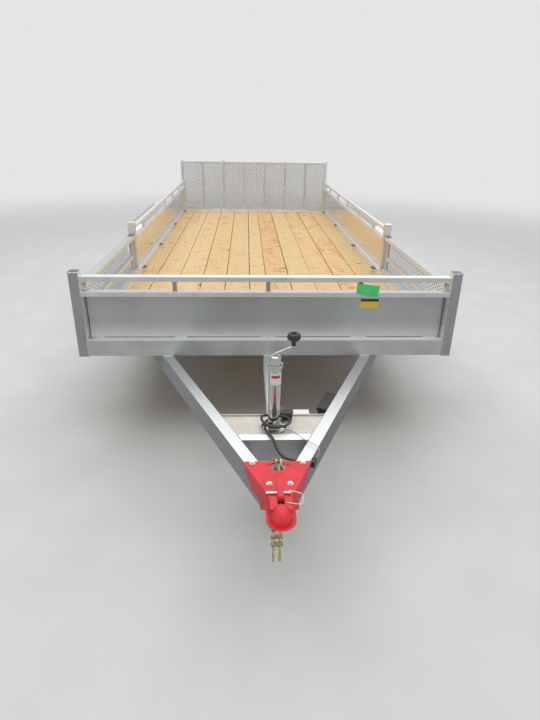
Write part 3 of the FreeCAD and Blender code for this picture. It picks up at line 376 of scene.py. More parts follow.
for x in (-478, 0, 479):
    for z in (875.3, 929.7):
        runs.append(((x - 11, 12.3, z), (x + 11, 12.3, z)))
runs.append(((-21, 0.5, 521), (21, 0.5, 521)))
for x0, x1 in ((-118, -72), (-22, 24), (84, 128)):
    runs.append(((x0, -783.5, 515), (x1, -783.5, 515)))
step, steps_a_ripple = 0.0011, 3.2
beads = bmesh.new()
dice = random.Random(4)
for start, end in runs:
    start, end = at(*start), at(*end)
    count = max(5, round((end - start).length / step))
    size, phase = dice.uniform(0.0030, 0.0036), dice.random()
    path, radii = [], []
    for i in range(count + 1):
        share = i / count
        path.append(start.lerp(end, share) + Vector((0, 0, dice.uniform(-0.00012, 0.00012))))
        ripple = 1 + 0.11 * math.sin(2 * math.pi * (i / steps_a_ripple + phase))
        radii.append(size * ripple * min(1.0, 0.45 + 4 * min(share, 1 - share)))
    sweep(beads, path, radii, 6)
welds = meshed("weld_beads", beads, weld_metal, smooth=80)
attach(welds, "trailer")


# Deck: sawn softwood planks 38 mm thick, laid lengthwise between the beams and screwed down from below.
# Each has its own tone and grain and its own soft corners, and dark gaps of a few millimetres part them.
def block(shape, x, y, z, finish=0):
    """Adds a box between pairs of coordinates in millimetres."""
    low, high = at(x[0], y[0], z[0]), at(x[1], y[1], z[1])
    made = bmesh.ops.create_cube(shape, size=1.0)["verts"]
    for vert in made:
        vert.co = [high[k] if vert.co[k] > 0 else low[k] for k in range(3)]
    for new in {face for vert in made for face in vert.link_faces}:
        new.material_index = finish


def spots(tree, place, cells, least, outer, inner):
    """Soft spots in the few cells whose draw is over the least; the cells are counted a metre each way."""
    grid = add(tree, "Mapping", inputs={"Vector": place, "Scale": cells})
    cell = add(tree, "TexVoronoi", inputs={"Vector": grid.outputs[0], "Scale": 1.0})
    draw = add(tree, "SeparateColor", inputs={"Color": cell.outputs["Color"]})
    few = add(tree, "Math", {"operation": "GREATER_THAN"}, {0: draw.outputs[0], 1: least})
    spot = add(tree, "MapRange", {"interpolation_type": "SMOOTHSTEP"},
               {"Value": cell.outputs["Distance"], "From Min": outer, "From Max": inner})
    return add(tree, "Math", {"operation": "MULTIPLY"}, {0: spot.outputs[0], 1: few.outputs[0]})


# Bare spruce, rough sawn and unoiled: a warm matt yellow with no gloss. A plank's own share, from 0 to 1,
# shifts its grain to another part of the tree and reddens the planks from near the heart.
wood, tree, sockets, place = finish_of("bare_spruce", roughness=0.62)
board = add(tree, "Attribute", {"attribute_name": "board"}).outputs["Fac"]
moved = add(tree, "VectorMath", {"operation": "SCALE"}, {0: (1.7, 7.3, 0.0), "Scale": board})
own = add(tree, "VectorMath", {"operation": "ADD"}, {0: place, 1: moved.outputs[0]}).outputs[0]
# The grain drifts sideways over 1.1 m of a plank.
drift = stretched(tree, own, (5.0, 0.9, 5.0), 3.0)
# Round knots: one cell in seven, of 110 by 250 mm, holds a knot about 25 mm across and its swirl of grain.
knot = spots(tree, own, (9.0, 4.0, 1.0), 0.86, 0.12, 0.05)
swirl = spots(tree, own, (9.0, 4.0, 1.0), 0.86, 0.5, 0.0)
# Spike knots, cut along their length: a few short dark dashes across a plank, in cells of 105 by 59 mm.
wander = add(tree, "VectorMath", {"operation": "MULTIPLY_ADD"},
             {0: drift.outputs["Color"], 1: (0.05, 0.05, 0.0), 2: own})
rare = add(tree, "Math", {"operation": "MULTIPLY_ADD"}, {0: board, 1: -0.10, 2: 0.975})
spike = spots(tree, wander.outputs[0], (9.5, 17.0, 1.0), rare.outputs[0], 0.40, 0.22)
# Year rings 7.7 mm apart across a plank, bent by the drift and round each knot.
bent = add(tree, "Math", {"operation": "MULTIPLY"}, {0: drift.outputs["Fac"], 1: 0.16})
bent = add(tree, "Math", {"operation": "MULTIPLY_ADD"}, {0: swirl.outputs[0], 1: 0.03, 2: bent.outputs[0]})
split = add(tree, "SeparateXYZ", inputs={"Vector": own})
across = add(tree, "Math", {"operation": "ADD"}, {0: split.outputs["X"], 1: bent.outputs[0]})
rings = add(tree, "TexNoise", {"noise_dimensions": "1D"},
            {"W": across.outputs[0], "Scale": 130.0, "Detail": 2.0})
grain = add(tree, "ValToRGB", inputs={"Fac": rings.outputs["Fac"]},
            stops=((0.34, "#CBAC7C"), (0.46, "#D5BB8D"), (0.6, "#D9C49A"), (0.8, "#DECDA8"))).outputs[0]
hue = add(tree, "ValToRGB", inputs={"Fac": board},
          stops=((0.0, "#FBF5EA"), (0.3, "#FFFBF2"), (0.6, "#FFF5E9"), (1.0, "#FCEDDF"))).outputs[0]
# Fibres 1.1 mm wide and 60 mm long, drawn coarser than the real 0.04 mm so that they show.
fibre = stretched(tree, own, (900.0, 16.0, 900.0), 3.0)
pores = add(tree, "ValToRGB", inputs={"Fac": fibre.outputs["Fac"]},
            stops=((0.3, "#E9DCC8"), (0.6, "#FFFFFF"))).outputs[0]
# Bruises from the saw's feed rollers, 140 mm across a plank and 33 mm along it.
marks = stretched(tree, own, (7.0, 30.0, 7.0), 6.0, 0.65)
bruise = add(tree, "ValToRGB", inputs={"Fac": marks.outputs["Fac"]},
             stops=((0.30, "#C09468"), (0.44, "#FFFFFF"))).outputs[0]
# Heartwood reddens in clouds of 110 by 450 mm.
resin = stretched(tree, own, (9.0, 2.2, 9.0), 5.0, 0.6)
heart = add(tree, "MapRange", inputs={"Value": board, "From Min": 0.5, "From Max": 0.9, "To Min": 0.15})
cloudy = add(tree, "MapRange", inputs={"Value": resin.outputs["Fac"], "From Min": 0.48, "From Max": 0.66})
blush = add(tree, "Math", {"operation": "MULTIPLY"}, {0: heart.outputs[0], 1: cloudy.outputs[0]})
faint = add(tree, "Math", {"operation": "MULTIPLY"}, {0: spike.outputs[0], 1: 0.95})
toned = grain
for layer, blend, amount in ((hue, "MULTIPLY", 1.0), (pores, "MULTIPLY", 0.6), (bruise, "MULTIPLY", 0.85),
                             (linear("#F0CDB2"), "MULTIPLY", blush.outputs[0]),
                             (linear("#8A5E36"), "MIX", knot.outputs[0]),
                             (linear("#94653A"), "MIX", faint.outputs[0])):
    toned = add(tree, "Mix", {"data_type": "RGBA", "blend_type": blend},
                {0: amount, 6: toned, 7: layer}).outputs[2]
tree.links.new(toned, sockets["Base Color"])
add(tree, "Bump", inputs={"Height": fibre.outputs["Fac"], "Distance": 0.0004, "Strength": 0.4},
    to=sockets["Normal"])
planks = bmesh.new()
tones = planks.faces.layers.float.new("board")
dice = random.Random(11)
deck_y, deck_low, deck_top = (50, 4927), 522, 560
left, gap = -953.0, 1.0
for width, share in ((129, 0.12), (184, 0.23), (184, 0.31), (184, 0.58), (184, 0.05), (129, 0.38),
                     (184, 0.97), (184, 0.17), (184, 0.63), (184, 0.70), (176, 0.27)):
    drop, last_gap, gap = dice.uniform(0.0, 1.2), gap, dice.uniform(0.8, 3.2)
    first = len(planks.faces)
    block(planks, (left + last_gap, left + width - gap), deck_y, (deck_low, deck_top - drop))
    planks.faces.ensure_lookup_table()
    for face in planks.faces[first:]:
        face[tones] = share
    left += width
corners = [edge for edge in planks.edges if abs(edge.verts[0].co.y - edge.verts[1].co.y) > 1.0]
bmesh.ops.bevel(planks, geom=corners, offset=0.004, segments=3, affect="EDGES", profile=0.5)
deck = meshed("deck_boards", planks, wood, smooth=50)
deck.modifiers.new("flat faces", "WEIGHTED_NORMAL").weight = 70
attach(deck, "trailer")
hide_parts("deck_planks")


# Tie-downs: 10 mm round steel bar, bent into a D and welded inside the side beams, five a side.
# Zinc-plated bar gone dull: a dark grey, in paler patches of 6 mm where straps rub.
dull_zinc = clouded("dull_zinc_bar", 160.0, ((0.35, "#55534F"), (0.7, "#86857F")), detail=5.0, metallic=1.0,
                    roughness=0.45)
bow = [(954, -27), (935, -27), (930, -24), (928.5, -18), (928.5, 18), (930, 24), (935, 27), (954, 27)]
loops = bmesh.new()
for side in (-1, 1):
    for y in tie_down_y:
        sweep(loops, [at(side * x, y + dy, 593) for x, dy in bow], 0.005, 12)
tie_loops = meshed("tie_down_loops", loops, dull_zinc, smooth=60)
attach(tie_loops, "trailer")
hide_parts("tie_downs")


# Gate and ramps: welded ladders of 25 mm bar, with 3 mm expanded aluminium tacked to their faces.
# The mesh is raised: slanted strands 5 mm wide between their bonds, in diamonds of 51 by 23 mm.
def expanded(name, node, finish, across, start, width, height, depth):
    """A panel of expanded metal from its lower corner; its strands run zigzag along across."""
    pitch, half, bond_half, rim = 0.0254, 0.0117, 0.004, 0.002
    section = ((-0.0025, -0.0012), (-0.0009, -0.0015), (0.0025, 0.0012), (0.0009, 0.0015))
    count = int(width / pitch)
    across, depth = Vector(across), Vector(depth)
    shape = bmesh.new()
    for row in range(int(height / half)):
        before = None
        for i in range(count + 1):
            lift = row * half + (half if (i + row) % 2 else 0.0) + rim
            for bond in (-bond_half, bond_half):
                run = min(max(i * pitch + bond, 0.0), width)
                base = start + across * run + Vector((0, 0, min(lift, height - rim)))
                ring = [shape.verts.new(base + Vector((0, 0, dz)) + depth * dd) for dz, dd in section]
                if before:
                    for k in range(4):
                        shape.faces.new((before[k], before[(k + 1) % 4], ring[(k + 1) % 4], ring[k]))
                before = ring
    made = meshed(name, shape, finish, smooth=20)
    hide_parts(node)
    return made


# Aluminium sheet, slit and stretched in a press: strands of a soft grey gleam, patchy over 33 mm.
strand = clouded("expanded_aluminium", 30.0, ((0.3, "#9A9893"), (0.7, "#AEACA7")), detail=5.0, metallic=1.0,
                 roughness=0.4)
for word, y in (("lower", 4980.5), ("upper", 5043.5)):
    leaf = expanded("gate_%s_strands" % word, "gate_%s_mesh" % word, strand, (1, 0, 0), at(-1002, y, 564),
                    2.004, 0.632, (0, 1, 0))
    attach(leaf, "gate_" + word)
for side, word in ((-1, "left"), (1, "right")):
    tread = expanded("ramp_%s_strands" % word, "ramp_%s_mesh" % word, strand, (0, 1, 0),
                     at(side * 999.5, 90, 641), 1.286, 0.224, (side, 0, 0))
    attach(tread, "ramp_" + word)
    dress(extrusion["ramp"], "ramp_%s_frame" % word)
dress(extrusion["gate"], "gate_lower_frame", "gate_upper_frame")


# Hinges, slam catches and latches: pressed and turned steel, bolted to the posts and the gate.
# Bright zinc plate with a thin passive film: clear reflections that cloud over in patches of 18 mm.
zinc = clouded("bright_zinc_plate", 55.0, ((0.3, "#9B9C98"), (0.6, "#B9BAB6"), (0.8, "#C6C6C1")), detail=5.0,
               gloss=(0.14, 0.34), metallic=1.0)
dress(zinc, "gate_hinges", "gate_catches", "ramp_hinges", "ramp_latches", edge=0.0008)


# Fenders: 3 mm aluminium sheet bent over both wheels of a side and welded to the side beam.
# Rolled sheet: a broken satin gleam in lines drawn 6 mm apart, as the real ones are too fine to show, and
# road dust in clouds of 170 mm.
fender, tree, sockets, place = finish_of("bent_aluminium_sheet", metallic=1.0)
roll = stretched(tree, place, (160.0, 3.0, 3.0), 4.0)
dust = add(tree, "TexNoise", inputs={"Vector": place, "Scale": 6.0, "Detail": 8.0, "Roughness": 0.65})
add(tree, "ValToRGB", inputs={"Fac": dust.outputs["Fac"]}, stops=((0.35, "#A3A29E"), (0.6, "#B4B5B4")),
    to=sockets["Base Color"])
add(tree, "MapRange", inputs={"Value": roll.outputs["Fac"], "To Min": 0.24, "To Max": 0.38},
    to=sockets["Roughness"])
dress(fender, "fenders", edge=0.0012)


# Axles, arms and brackets: two square steel torsion axles, bolted under the side beams on brackets.
# Hot-dip galvanised steel: a cool matt grey in which the zinc's crystals show as 9 mm spangle.
galvanised, tree, sockets, place = finish_of("galvanised_steel", metallic=1.0, roughness=0.5)
spangle = add(tree, "TexVoronoi", inputs={"Vector": place, "Scale": 110.0})
flake = add(tree, "SeparateColor", inputs={"Color": spangle.outputs["Color"]})
add(tree, "ValToRGB", inputs={"Fac": flake.outputs[0]}, stops=((0.0, "#83888B"), (1.0, "#A4A8AA")),
    to=sockets["Base Color"])
dress(galvanised, "axle_tubes", "axle_brackets", "trailing_arms")


# Brake plates: pressed steel backing plates, bolted to the arms behind each wheel.
# Black dip paint, baked: half matt, with brown road dust in patches of 40 mm.
dip_paint = clouded("black_brake_plate", 25.0, ((0.4, "#191A1B"), (0.75, "#4A4845")), detail=6.0,
                    roughness=0.55)
dress(dip_paint, "brake_plates")


# Wheels: 15 in cast alloy rims with a machined face, in radial trailer tyres with grooves round them.
# The tread is turned from its half section and mirrored, then cut into shoulder blocks and sipes.
def lathe(shape, outline, centre, steps, cut):
    """Turns a closed outline of (radius, x offset) about an axis along X; cut changes a radius on the way."""
    rings = []
    for k in range(steps):
        a = 2 * math.pi * k / steps
        ring = []
        for r, off in outline:
            r = cut(k, r)
            ring.append(shape.verts.new(centre + Vector((off, r * math.sin(a), r * math.cos(a))) / 1000))
        rings.append(ring)
    for one, two in zip(rings, rings[1:] + rings[:1]):
        for j in range(len(outline)):
            shape.faces.new((one[j], one[(j + 1) % len(outline)], two[(j + 1) % len(outline)], two[j]))


def blocks(k, r):
    """Cuts the shoulder blocks and the small sipes of the ribs, six steps apart."""
    if k % 6:
        return r
    if r > 337:
        return r - 4.5
    return r - 3.0 if 320 < r < 337 and r not in (334, 334.5) else r


# Moulded rubber with carbon black: a soft matt near-black, paler where road dust lies in clouds of 70 mm,
# over a pebble that is drawn at 2 mm so that it shows.
rubber, tree, sockets, place = finish_of("tyre_rubber", roughness=0.8)
dust = add(tree, "TexNoise", inputs={"Vector": place, "Scale": 14.0, "Detail": 8.0, "Roughness": 0.65})
add(tree, "ValToRGB", inputs={"Fac": dust.outputs["Fac"]},
    stops=((0.4, "#1D1D1E"), (0.62, "#2E2E2E"), (0.8, "#4A4742")), to=sockets["Base Color"])
pebble = add(tree, "TexNoise", inputs={"Vector": place, "Scale": 500.0, "Detail": 3.0})
add(tree, "Bump", inputs={"Height": pebble.outputs["Fac"], "Distance": 0.0004, "Strength": 0.5},
    to=sockets["Normal"])
# Cast aluminium alloy, faced on a lathe and lacquered: a bright cool grey, a little uneven over 17 mm.
alloy = clouded("machined_alloy", 60.0, ((0.3, "#B3B5B7"), (0.7, "#BEC0C1")), detail=5.0, gloss=(0.24, 0.34),
                metallic=1.0)
tyre_half = [(191, 0), (206, 0), (206, 60), (191, 68), (191, 75), (199, 75.5), (204, 84), (216, 92),
             (232, 98.5), (240, 98.6), (242, 100.6), (260, 102.3), (282, 101.4), (284, 99.6), (300, 98),
             (312, 95), (324, 90), (333, 84), (339, 77), (341.5, 70), (334, 69), (334, 62), (342.4, 61),
             (342.8, 40), (334.5, 39), (334.5, 31), (343, 30), (343, 12), (334.5, 11), (334.5, 0)]
tyre_outline = tyre_half + [(r, -off) for r, off in tyre_half[-2:0:-1]]
wheel_x, axle_z = 1133, 343
for side, word in ((-1, "left"), (1, "right")):
    for y, place_word in ((2820, "front"), (3680, "rear")):
        shape = bmesh.new()
        lathe(shape, tyre_outline, at(side * wheel_x, y, axle_z), 288, blocks)
        tyre = meshed("tyre_%s_%s_tread" % (word, place_word), shape, rubber, smooth=30)
        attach(tyre, "wheel_%s_%s" % (word, place_word))
        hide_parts("tyre_%s_%s" % (word, place_word))
        dress(alloy, "rim_%s_%s" % (word, place_word), edge=0.0015)


# Coupler: a stamped steel A-frame coupler for a 50.8 mm ball, bolted over the ends of the tongue members.
# Its latch lever turns on a zinc pin that a wire bail keeps; bolts, pin and bail are added here.
pin_y, eye_x, eye_z = -1161, 30, 533
# Red stoving enamel on steel: a deep even red with a soft gloss. Its side walls are painted a duller red, as
# painted shade, and faces turned to the front a fuller red, as painted light; its skin waves over 45 mm, and
# small chips, 13 mm apart, show grey steel.
enamel, tree, sockets, place = finish_of("red_enamel", roughness=0.48)
skin = add(tree, "TexNoise", inputs={"Vector": place, "Scale": 22.0, "Detail": 5.0})
red = add(tree, "ValToRGB", inputs={"Fac": skin.outputs["Fac"]},
          stops=((0.3, "#C31B22"), (0.6, "#D6262D"), (0.8, "#DC3037"))).outputs[0]
facing = add(tree, "SeparateXYZ", inputs={"Vector": add(tree, "TexCoord").outputs["Normal"]})
across = add(tree, "Math", {"operation": "ABSOLUTE"}, {0: facing.outputs["X"]})
# Painted shade on the side walls and painted light on the faces turned to the front.
for way, start, full, colour in ((across.outputs[0], 0.55, 0.95, "#B5171E"),
                                 (facing.outputs["Y"], -0.2, -0.8, "#F03840")):
    turned = add(tree, "MapRange", inputs={"Value": way, "From Min": start, "From Max": full})
    red = add(tree, "Mix", {"data_type": "RGBA"},
              {0: turned.outputs[0], 6: red, 7: linear(colour)}).outputs[2]
chips = add(tree, "TexNoise", inputs={"Vector": place, "Scale": 75.0, "Detail": 9.0, "Roughness": 0.7})
bare = add(tree, "MapRange", inputs={"Value": chips.outputs["Fac"], "From Min": 0.735, "From Max": 0.75})
chipped = add(tree, "Mix", {"data_type": "RGBA"}, {0: bare.outputs[0], 6: red, 7: linear("#6A5F5C")})
tree.links.new(chipped.outputs[2], sockets["Base Color"])
add(tree, "Bump", inputs={"Height": skin.outputs["Fac"], "Distance": 0.001, "Strength": 0.35},
    to=sockets["Normal"])
dress(enamel, "coupler", edge=0.0022)
dress(enamel, "coupler_latch", edge=0.0035)
# Zinc-plated bolts, barrel dipped: a milky bright metal, clouded over 6 mm.
steel = clouded("zinc_plated_bolts", 180.0, ((0.35, "#C9C8C0"), (0.7, "#EAE9E2")), metallic=1.0,
                roughness=0.48)
# Painted shade: near-black, with specks of 3 mm, laid in the coupler's holes and the latch's slot in place of
# the shade there.
hole = clouded("shadowed_hole", 300.0, ((0.3, "#0C0B0B"), (0.7, "#171515")), detail=2.0, roughness=0.9)
fixings = bmesh.new()
for x, y in ((-35, -1109), (38, -1109), (-92, -988), (95, -988)):
    for r, z0, z1, sides in ((10.5, 528, 529.6, 24), (8.6, 529.6, 535.0, 6), (6.8, 535.0, 536.2, 12)):
        sweep(fixings, [at(x, y, z0), at(x, y, z1)], r / 1000, sides)
# Two small near-black discs on the coupler: painted shade.
for x in (-34, 38):
    sweep(fixings, [at(x, -996, 527), at(x, -996, 528.3)], 0.0036, 16, finish=1)
for x0, x1 in ((-48.6, -11.5), (11.5, 35.6)):
    sweep(fixings, [at(x0, pin_y, 532.8), at(x1, pin_y, 532.8)], 0.0047, 16)
bail = [(eye_x, pin_y, 540), (44, -1163, 540), (71, -1172, 537), (75, -1177, 536), (71, -1212, 533),
        (67, -1219, 532), (50, -1216, 531), (30, -1211, 530.5), (20, -1207, 529.5)]
sweep(fixings, [at(*point) for point in bail], 0.0013, 8)
eye_turns = [2 * math.pi * k / 20 for k in range(20)]
pin_eye = [at(eye_x + 0.5 * math.cos(a), pin_y + 8 * math.cos(a), eye_z + 8 * math.sin(a)) for a in eye_turns]
sweep(fixings, pin_eye, 0.0012, 8, closed=True)
# A near-black block in the latch's slot: painted shade.
block(fixings, (-11.8, 11.8), (-1204, -1180), (494, 520), finish=1)
for side in (-1, 1):
    block(fixings, (side * 36, side * 50), (-1206, -1187), (482, 487), finish=2)
bolts = meshed("coupler_bolts_and_bail", fixings, steel, hole, enamel, smooth=35)
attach(bolts, "trailer")


# Safety chains: two welded steel chains of 6.8 mm wire with a hook at each end, which hang from the coupler.
# A long link of 9.6 mm wire leads each of them through the coupler's round hole.
# Yellow-passivated zinc plate: a dull gold film over grey, which shimmers in patches of 14 mm.
grey_to_gold = ((0.3, "#8F8054"), (0.5, "#C4B07A"), (0.7, "#D9CFA8"))
gold = clouded("yellow_zinc_chain", 70.0, grey_to_gold, metallic=1.0, roughness=0.34)
long_turns = [2 * math.pi * (k + 0.5) / 24 for k in range(24)]
long_link = [(7 * math.sin(a), (30 if math.cos(a) > 0 else -18) + 7 * math.cos(a)) for a in long_turns]
oval_turns = [2 * math.pi * (k + 0.5) / 20 for k in range(20)]
oval = [(9 * math.sin(a), 4.5 * (1 if math.cos(a) > 0 else -1) + 9 * math.cos(a)) for a in oval_turns]
hook = [(3.5, -14), (0, -24), (-6, -34), (-10.5, -42), (-11, -49), (-7, -57), (0, -62), (8, -62), (15.5, -57),
        (18.5, -50), (18, -42)]
hook_radii = [0.0034, 0.0036, 0.004, 0.0045, 0.0048, 0.005, 0.005, 0.0048, 0.0042, 0.0036, 0.0028]
chain_y, first_link_z, link_count, link_pitch = -1011.8, 495.2, 19, 19.7
chains = bmesh.new()
for foot, head in ((-9, -3.5), (17, 11.5)):
    tip, toe = at(head, -974, 546), at(foot, chain_y, 484)
    up = (tip - toe).normalized()
    back = up.cross(Vector((1, 0, 0))).normalized()
    middle = tip.lerp(toe, 0.5)
    path = [middle + (up * z * 0.72 + back * y * 1.1) / 1000 for y, z in long_link]
    sweep(chains, path, 0.0048, 10, closed=True)
for chain_x in (-9, 17):
    for i in range(link_count):
        middle = at(chain_x, chain_y, first_link_z - link_pitch * i)
        turned = Matrix.Rotation(math.pi / 2 * ((i + 1) % 2), 4, "Z")
        sweep(chains, [middle + turned @ Vector((x, 0, z)) / 1000 for x, z in oval], 0.0034, 10, closed=True)
    sweep(chains, [middle + turned @ Vector((x, 0, z)) / 1000 for x, z in hook], hook_radii, 10)
chain = meshed("safety_chain_links", chains, gold, smooth=60)
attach(chain, "trailer")
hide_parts("safety_chains")


# Jack: a drawn steel tube with a crank on top, clamped in the jack plate, and an inner leg that screws down.
# The crank is 9 mm rod with a moulded knob, hollowed for the finger, and both are modelled here.
jack_y, knob_x, knob_z = -720, 70, 906
# Drawn tube under bright zinc: almost a mirror, streaked along its length by draw lines, which are 2 mm
# apart and 170 mm long here so that they show.
tube_zinc, tree, sockets, place = finish_of("drawn_zinc_tube", metallic=1.0)
drawn = stretched(tree, place, (500.0, 500.0, 6.0), 3.0)
add(tree, "ValToRGB", inputs={"Fac": drawn.outputs["Fac"]}, stops=((0.3, "#A9AAA3"), (0.7, "#C2C3BC")),
    to=sockets["Base Color"])
add(tree, "MapRange", inputs={"Value": drawn.outputs["Fac"], "To Min": 0.1, "To Max": 0.22},
    to=sockets["Roughness"])
dress(tube_zinc, "jack_tube", "jack_leg", edge=0.0012)
# Moulded black polypropylene with a spark-eroded texture of 4 mm: charcoal, half matt.
black = clouded("moulded_black_plastic", 240.0, ((0.3, "#161617"), (0.7, "#303031")), relief=0.0003,
                roughness=0.5)
knob = [(0, -22), (8.2, -22), (9, -20), (9, -7), (13, -3), (19, 1), (25, 6), (26.8, 11), (26.6, 17),
        (24.5, 24), (20, 28.5), (15.5, 30), (12, 29), (10, 25), (9, 19), (0, 16)]
crank_rod = [(0, 850), (14, 856), (58, 876), (66, 881), (68.5, 888)]
crank = bmesh.new()
sweep(crank, [at(0, jack_y, z) for z in (844, 850, 855.5)], [0.0085, 0.0085, 0.0065], 16)
sweep(crank, [at(x, jack_y, z) for x, z in crank_rod], 0.0045, 12)
for k in range(48):
    a, b = 2 * math.pi * k / 48, 2 * math.pi * (k + 1) / 48
    for (r, z), (r2, z2) in zip(knob, knob[1:]):
        corner = [at(knob_x + reach * math.cos(turn), jack_y + reach * math.sin(turn), knob_z + lift)
                  for reach, turn, lift in ((r, a, z), (r, b, z), (r2, b, z2), (r2, a, z2))]
        corner = corner[1:] if r == 0 else corner[:3] if r2 == 0 else corner
        crank.faces.new([crank.verts.new(point) for point in corner]).material_index = 1
bmesh.ops.remove_doubles(crank, verts=crank.verts[:], dist=2e-6)
handle = meshed("jack_crank_and_knob", crank, zinc, black, smooth=50)
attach(handle, "trailer")
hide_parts("jack_crank")


# Stickers: a white label with a red band and a red height stripe on the jack, a yellow label with a dark
# head on the front panel and a white one on the junction box. All of them are left blank.
# Cast vinyl film, screen printed: clean colour with a low gloss, a trace uneven over 11 mm.
films = []
for name, colours in (("white_vinyl", ("#DCDDDA", "#E8E9E6")), ("red_vinyl", ("#B8343B", "#C4464B")),
                      ("yellow_vinyl", ("#EDCB2C", "#F6DA4A")), ("black_print", ("#1A1A18", "#262622"))):
    films.append(clouded(name, 90.0, ((0.3, colours[0]), (0.7, colours[1])), roughness=0.4))
labels = bmesh.new()
for a0, a1, z0, z1, r, film in ((-50, 72, 724, 774, 25.5, 0), (-36, 48, 753, 766, 25.65, 1),
                                (-5, 5, 650, 723, 25.5, 1), (70, 77, 674, 722, 25.5, 1)):
    steps = max(2, round((a1 - a0) / 4))
    edge = [math.radians(a0 + (a1 - a0) * k / steps) for k in range(steps + 1)]
    rows = [[labels.verts.new(at(r * math.sin(a), jack_y - r * math.cos(a), z)) for a in edge]
            for z in (z0, z1)]
    for k in range(steps):
        labels.faces.new((rows[0][k], rows[0][k + 1], rows[1][k + 1], rows[1][k])).material_index = film
for z, film in (((777, 813), 2), ((813, 827), 3)):
    block(labels, (494, 591), (46.6, 47), z, film)
block(labels, (92, 162), (-606, -566), (510, 510.3), 0)
stickers = meshed("blank_stickers", labels, *films, smooth=30)
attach(stickers, "trailer")


# Battery and junction boxes, switch, plug and grommet: moulded black plastic, screwed to tongue and plate.
# The battery's case lies along the right tongue member, a box with a wider lid and soft edges.
dress(black, "junction_box", "breakaway_switch", "plug", "cable_grommet", edge=0.003)
case = bmesh.new()
battery_x, battery_y = 276.5, -510
inward, along = Vector((-0.911, 0.412, 0.0)), Vector((0.412, 0.911, 0.0))
for length, depth, z0, z1 in ((152, 46, 424, 497), (160, 51, 499, 519)):
    corners = bmesh.ops.create_cube(case, size=1.0)["verts"]
    for vert in corners:
        a, d = vert.co.x * length, (vert.co.y + 0.5) * depth
        vert.co = at(battery_x, battery_y, z1 if vert.co.z > 0 else z0) + (along * a + inward * d) / 1000
    edges = list({edge for vert in corners for edge in vert.link_edges})
    bmesh.ops.bevel(case, geom=edges, offset=0.005, segments=3, affect="EDGES", profile=0.5)
battery = meshed("battery_case", case, black, smooth=50)
battery.modifiers.new("flat faces", "WEIGHTED_NORMAL").weight = 70
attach(battery, "trailer")
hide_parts("battery_box")


# Lamps: a red tail lamp at each end of the rear beam, and side markers, amber in front and red behind.
# Moulded acrylic, tinted in the mass: deep colour under a hard gloss, with optic ribs on its inner face.
# The ribs of the tail lamps repeat at 5 mm and those of the markers at 4 mm.
lens, tree, sockets, place = finish_of("red_lamp_lens", roughness=0.12, coat_weight=0.5)
ribs = add(tree, "TexWave", {"bands_direction": "X"}, {"Vector": place, "Scale": 60.0})
add(tree, "ValToRGB", inputs={"Fac": ribs.outputs["Fac"]}, stops=((0.2, "#8E1015"), (0.8, "#B31A1F")),
    to=sockets["Base Color"])
add(tree, "Bump", inputs={"Height": ribs.outputs["Fac"], "Distance": 0.001, "Strength": 0.5},
    to=sockets["Normal"])
dress(lens, "tail_lamps", edge=0.003)
marker, tree, sockets, place = finish_of("marker_lamp_lens", roughness=0.12, coat_weight=0.5)
ribs = add(tree, "TexWave", {"bands_direction": "Y"}, {"Vector": place, "Scale": 80.0})
apart = add(tree, "SeparateXYZ", inputs={"Vector": place})
rear = add(tree, "Math", {"operation": "GREATER_THAN"}, {0: apart.outputs["Y"], 1: 0.0})
amber = add(tree, "ValToRGB", inputs={"Fac": ribs.outputs["Fac"]},
            stops=((0.2, "#C06A10"), (0.8, "#DD8A20"))).outputs[0]
tint = add(tree, "Mix", {"data_type": "RGBA"}, {0: rear.outputs[0], 6: amber, 7: linear("#A0161B")})
tree.links.new(tint.outputs[2], sockets["Base Color"])
dress(marker, "marker_lamps", edge=0.003)


# Tag: a blank green card, curled by the weather, on a black cable tie round the front wall's upright.
# Dyed card, calendered: a flat bright green, a trace lighter in clouds of 40 mm.
card = clouded("green_card", 25.0, ((0.3, "#38C468"), (0.7, "#4AD67C")), roughness=0.55)
tag = bmesh.new()
rows = []
for j in range(5):
    row = []
    for i in range(9):
        s, t = i / 8, j / 4
        x = (457 + 119 * s) * (1 - t) + (456 + 113 * s) * t
        z = (927 - 15 * s) * (1 - t) + (878 - 27 * s) * t
        row.append((x, -3 - 7 * math.sin(math.pi * s) * (0.4 + 0.6 * t), z))
    rows.append(row)
for back in (0.0, 0.8):
    grid = [[tag.verts.new(at(x, y + back, z)) for x, y, z in row] for row in rows]
    for j in range(4):
        for i in range(8):
            tag.faces.new((grid[j][i], grid[j][i + 1], grid[j + 1][i + 1], grid[j + 1][i]))
tie = [at(x, y, 908) for x, y in ((466, 9), (492, 9), (492, 37), (466, 37))]
sweep(tag, tie, 0.0016, 8, closed=True, finish=1)
sweep(tag, [at(467, 9, 908), at(464, 0, 909), at(463, -3, 914)], 0.0016, 8, finish=1)
green = meshed("green_tag", tag, card, black, smooth=60)
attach(green, "trailer")


# Road cable: 11 mm round cable from the grommet beside the coupler, over the cross tube and once round the
# jack to its plug on the plate. It is held only at its ends and lies where it was dropped.
def curve_through(name, points, r):
    """A NURBS curve of round section near its points in metres, held at its two ends."""
    line = bpy.data.curves.new(name, "CURVE")
    line.dimensions = "3D"
    line.bevel_depth = r
    line.bevel_resolution = 4
    line.resolution_u = 10
    line.use_fill_caps = True
    spline = line.splines.new("NURBS")
    spline.points.add(len(points) - 1)
    for control, point in zip(spline.points, points):
        control.co = (*point, 1.0)
    spline.order_u = 3
    spline.use_endpoint_u = True
    made = bpy.data.objects.new(name, line)
    bpy.context.scene.collection.objects.link(made)
    return made


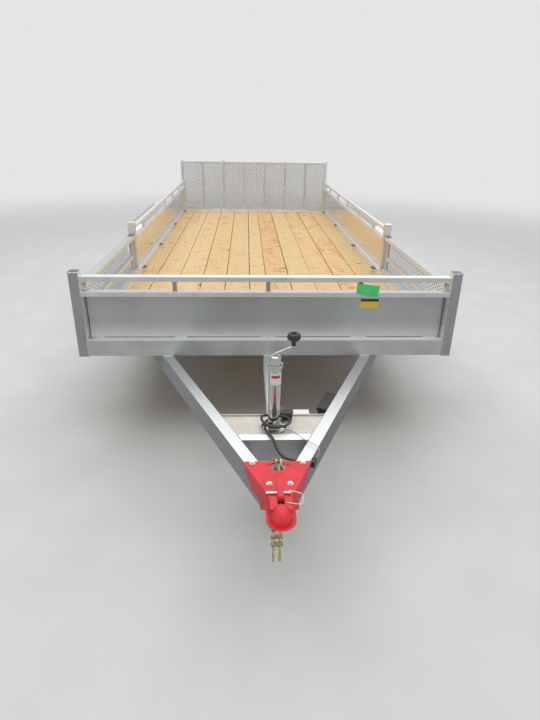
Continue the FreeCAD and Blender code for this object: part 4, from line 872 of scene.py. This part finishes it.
# Extruded soft PVC: black with a low gloss, scuffed grey in patches of 11 mm.
jacket = clouded("black_pvc_jacket", 90.0, ((0.35, "#1C1D1F"), (0.7, "#3A3C3E")), detail=6.0, relief=0.0003,
                 roughness=0.42)
cable_route = [
    (0.0729, -2.8192, 0.504), (0.0528, -2.8101, 0.504), (0.031, -2.7925, 0.499), (0.012, -2.7645, 0.503),
    (0.0, -2.7385, 0.518), (-0.010, -2.7145, 0.537), (-0.021, -2.6825, 0.534), (-0.033, -2.6495, 0.530),
    (-0.040, -2.6165, 0.530), (-0.036, -2.5805, 0.533), (-0.006, -2.5555, 0.539), (0.033, -2.5585, 0.546),
    (0.063, -2.5825, 0.550), (0.068, -2.6165, 0.551), (0.044, -2.6445, 0.549), (0.009, -2.6545, 0.549),
    (-0.026, -2.6425, 0.552), (-0.048, -2.6135, 0.553), (-0.052, -2.5805, 0.549), (-0.048, -2.5505, 0.543),
    (-0.022, -2.5285, 0.5333), (0.014, -2.5285, 0.5333)]
cable = curve_through("road_cable", cable_route, 0.0055)
cable.data.materials.append(jacket)
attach(cable, "trailer")
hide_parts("cable")


# Lanyard: 3 mm steel rope from the breakaway switch, laid along the tongue member and over the plate.
# It pulls the switch's pin if the trailer comes off; its loose end is crimped.
# Galvanised wire rope, laid from fine wires: a dark and bright grain of 1.1 mm, the size of a strand.
rope = clouded("galvanised_wire_rope", 900.0, ((0.4, "#6D6E6E"), (0.6, "#B9BBBA")), detail=2.0, metallic=1.0,
               roughness=0.35)
lanyard_route = [
    (0.1466, -2.8163, 0.504), (0.1540, -2.7999, 0.504), (0.167, -2.7865, 0.515), (0.164, -2.7705, 0.530),
    (0.148, -2.7545, 0.535), (0.130, -2.7345, 0.531), (0.115, -2.7095, 0.528), (0.100, -2.6825, 0.527),
    (0.082, -2.6565, 0.526), (0.060, -2.6385, 0.526), (0.034, -2.6325, 0.526), (0.006, -2.6355, 0.526),
    (-0.020, -2.6285, 0.526)]
lanyard = curve_through("breakaway_lanyard", lanyard_route, 0.0015)
lanyard.data.materials.append(rope)
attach(lanyard, "trailer")
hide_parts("lanyard")


# The whole trailer's box, in metres.
# It is read again by nothing here.
low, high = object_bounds()
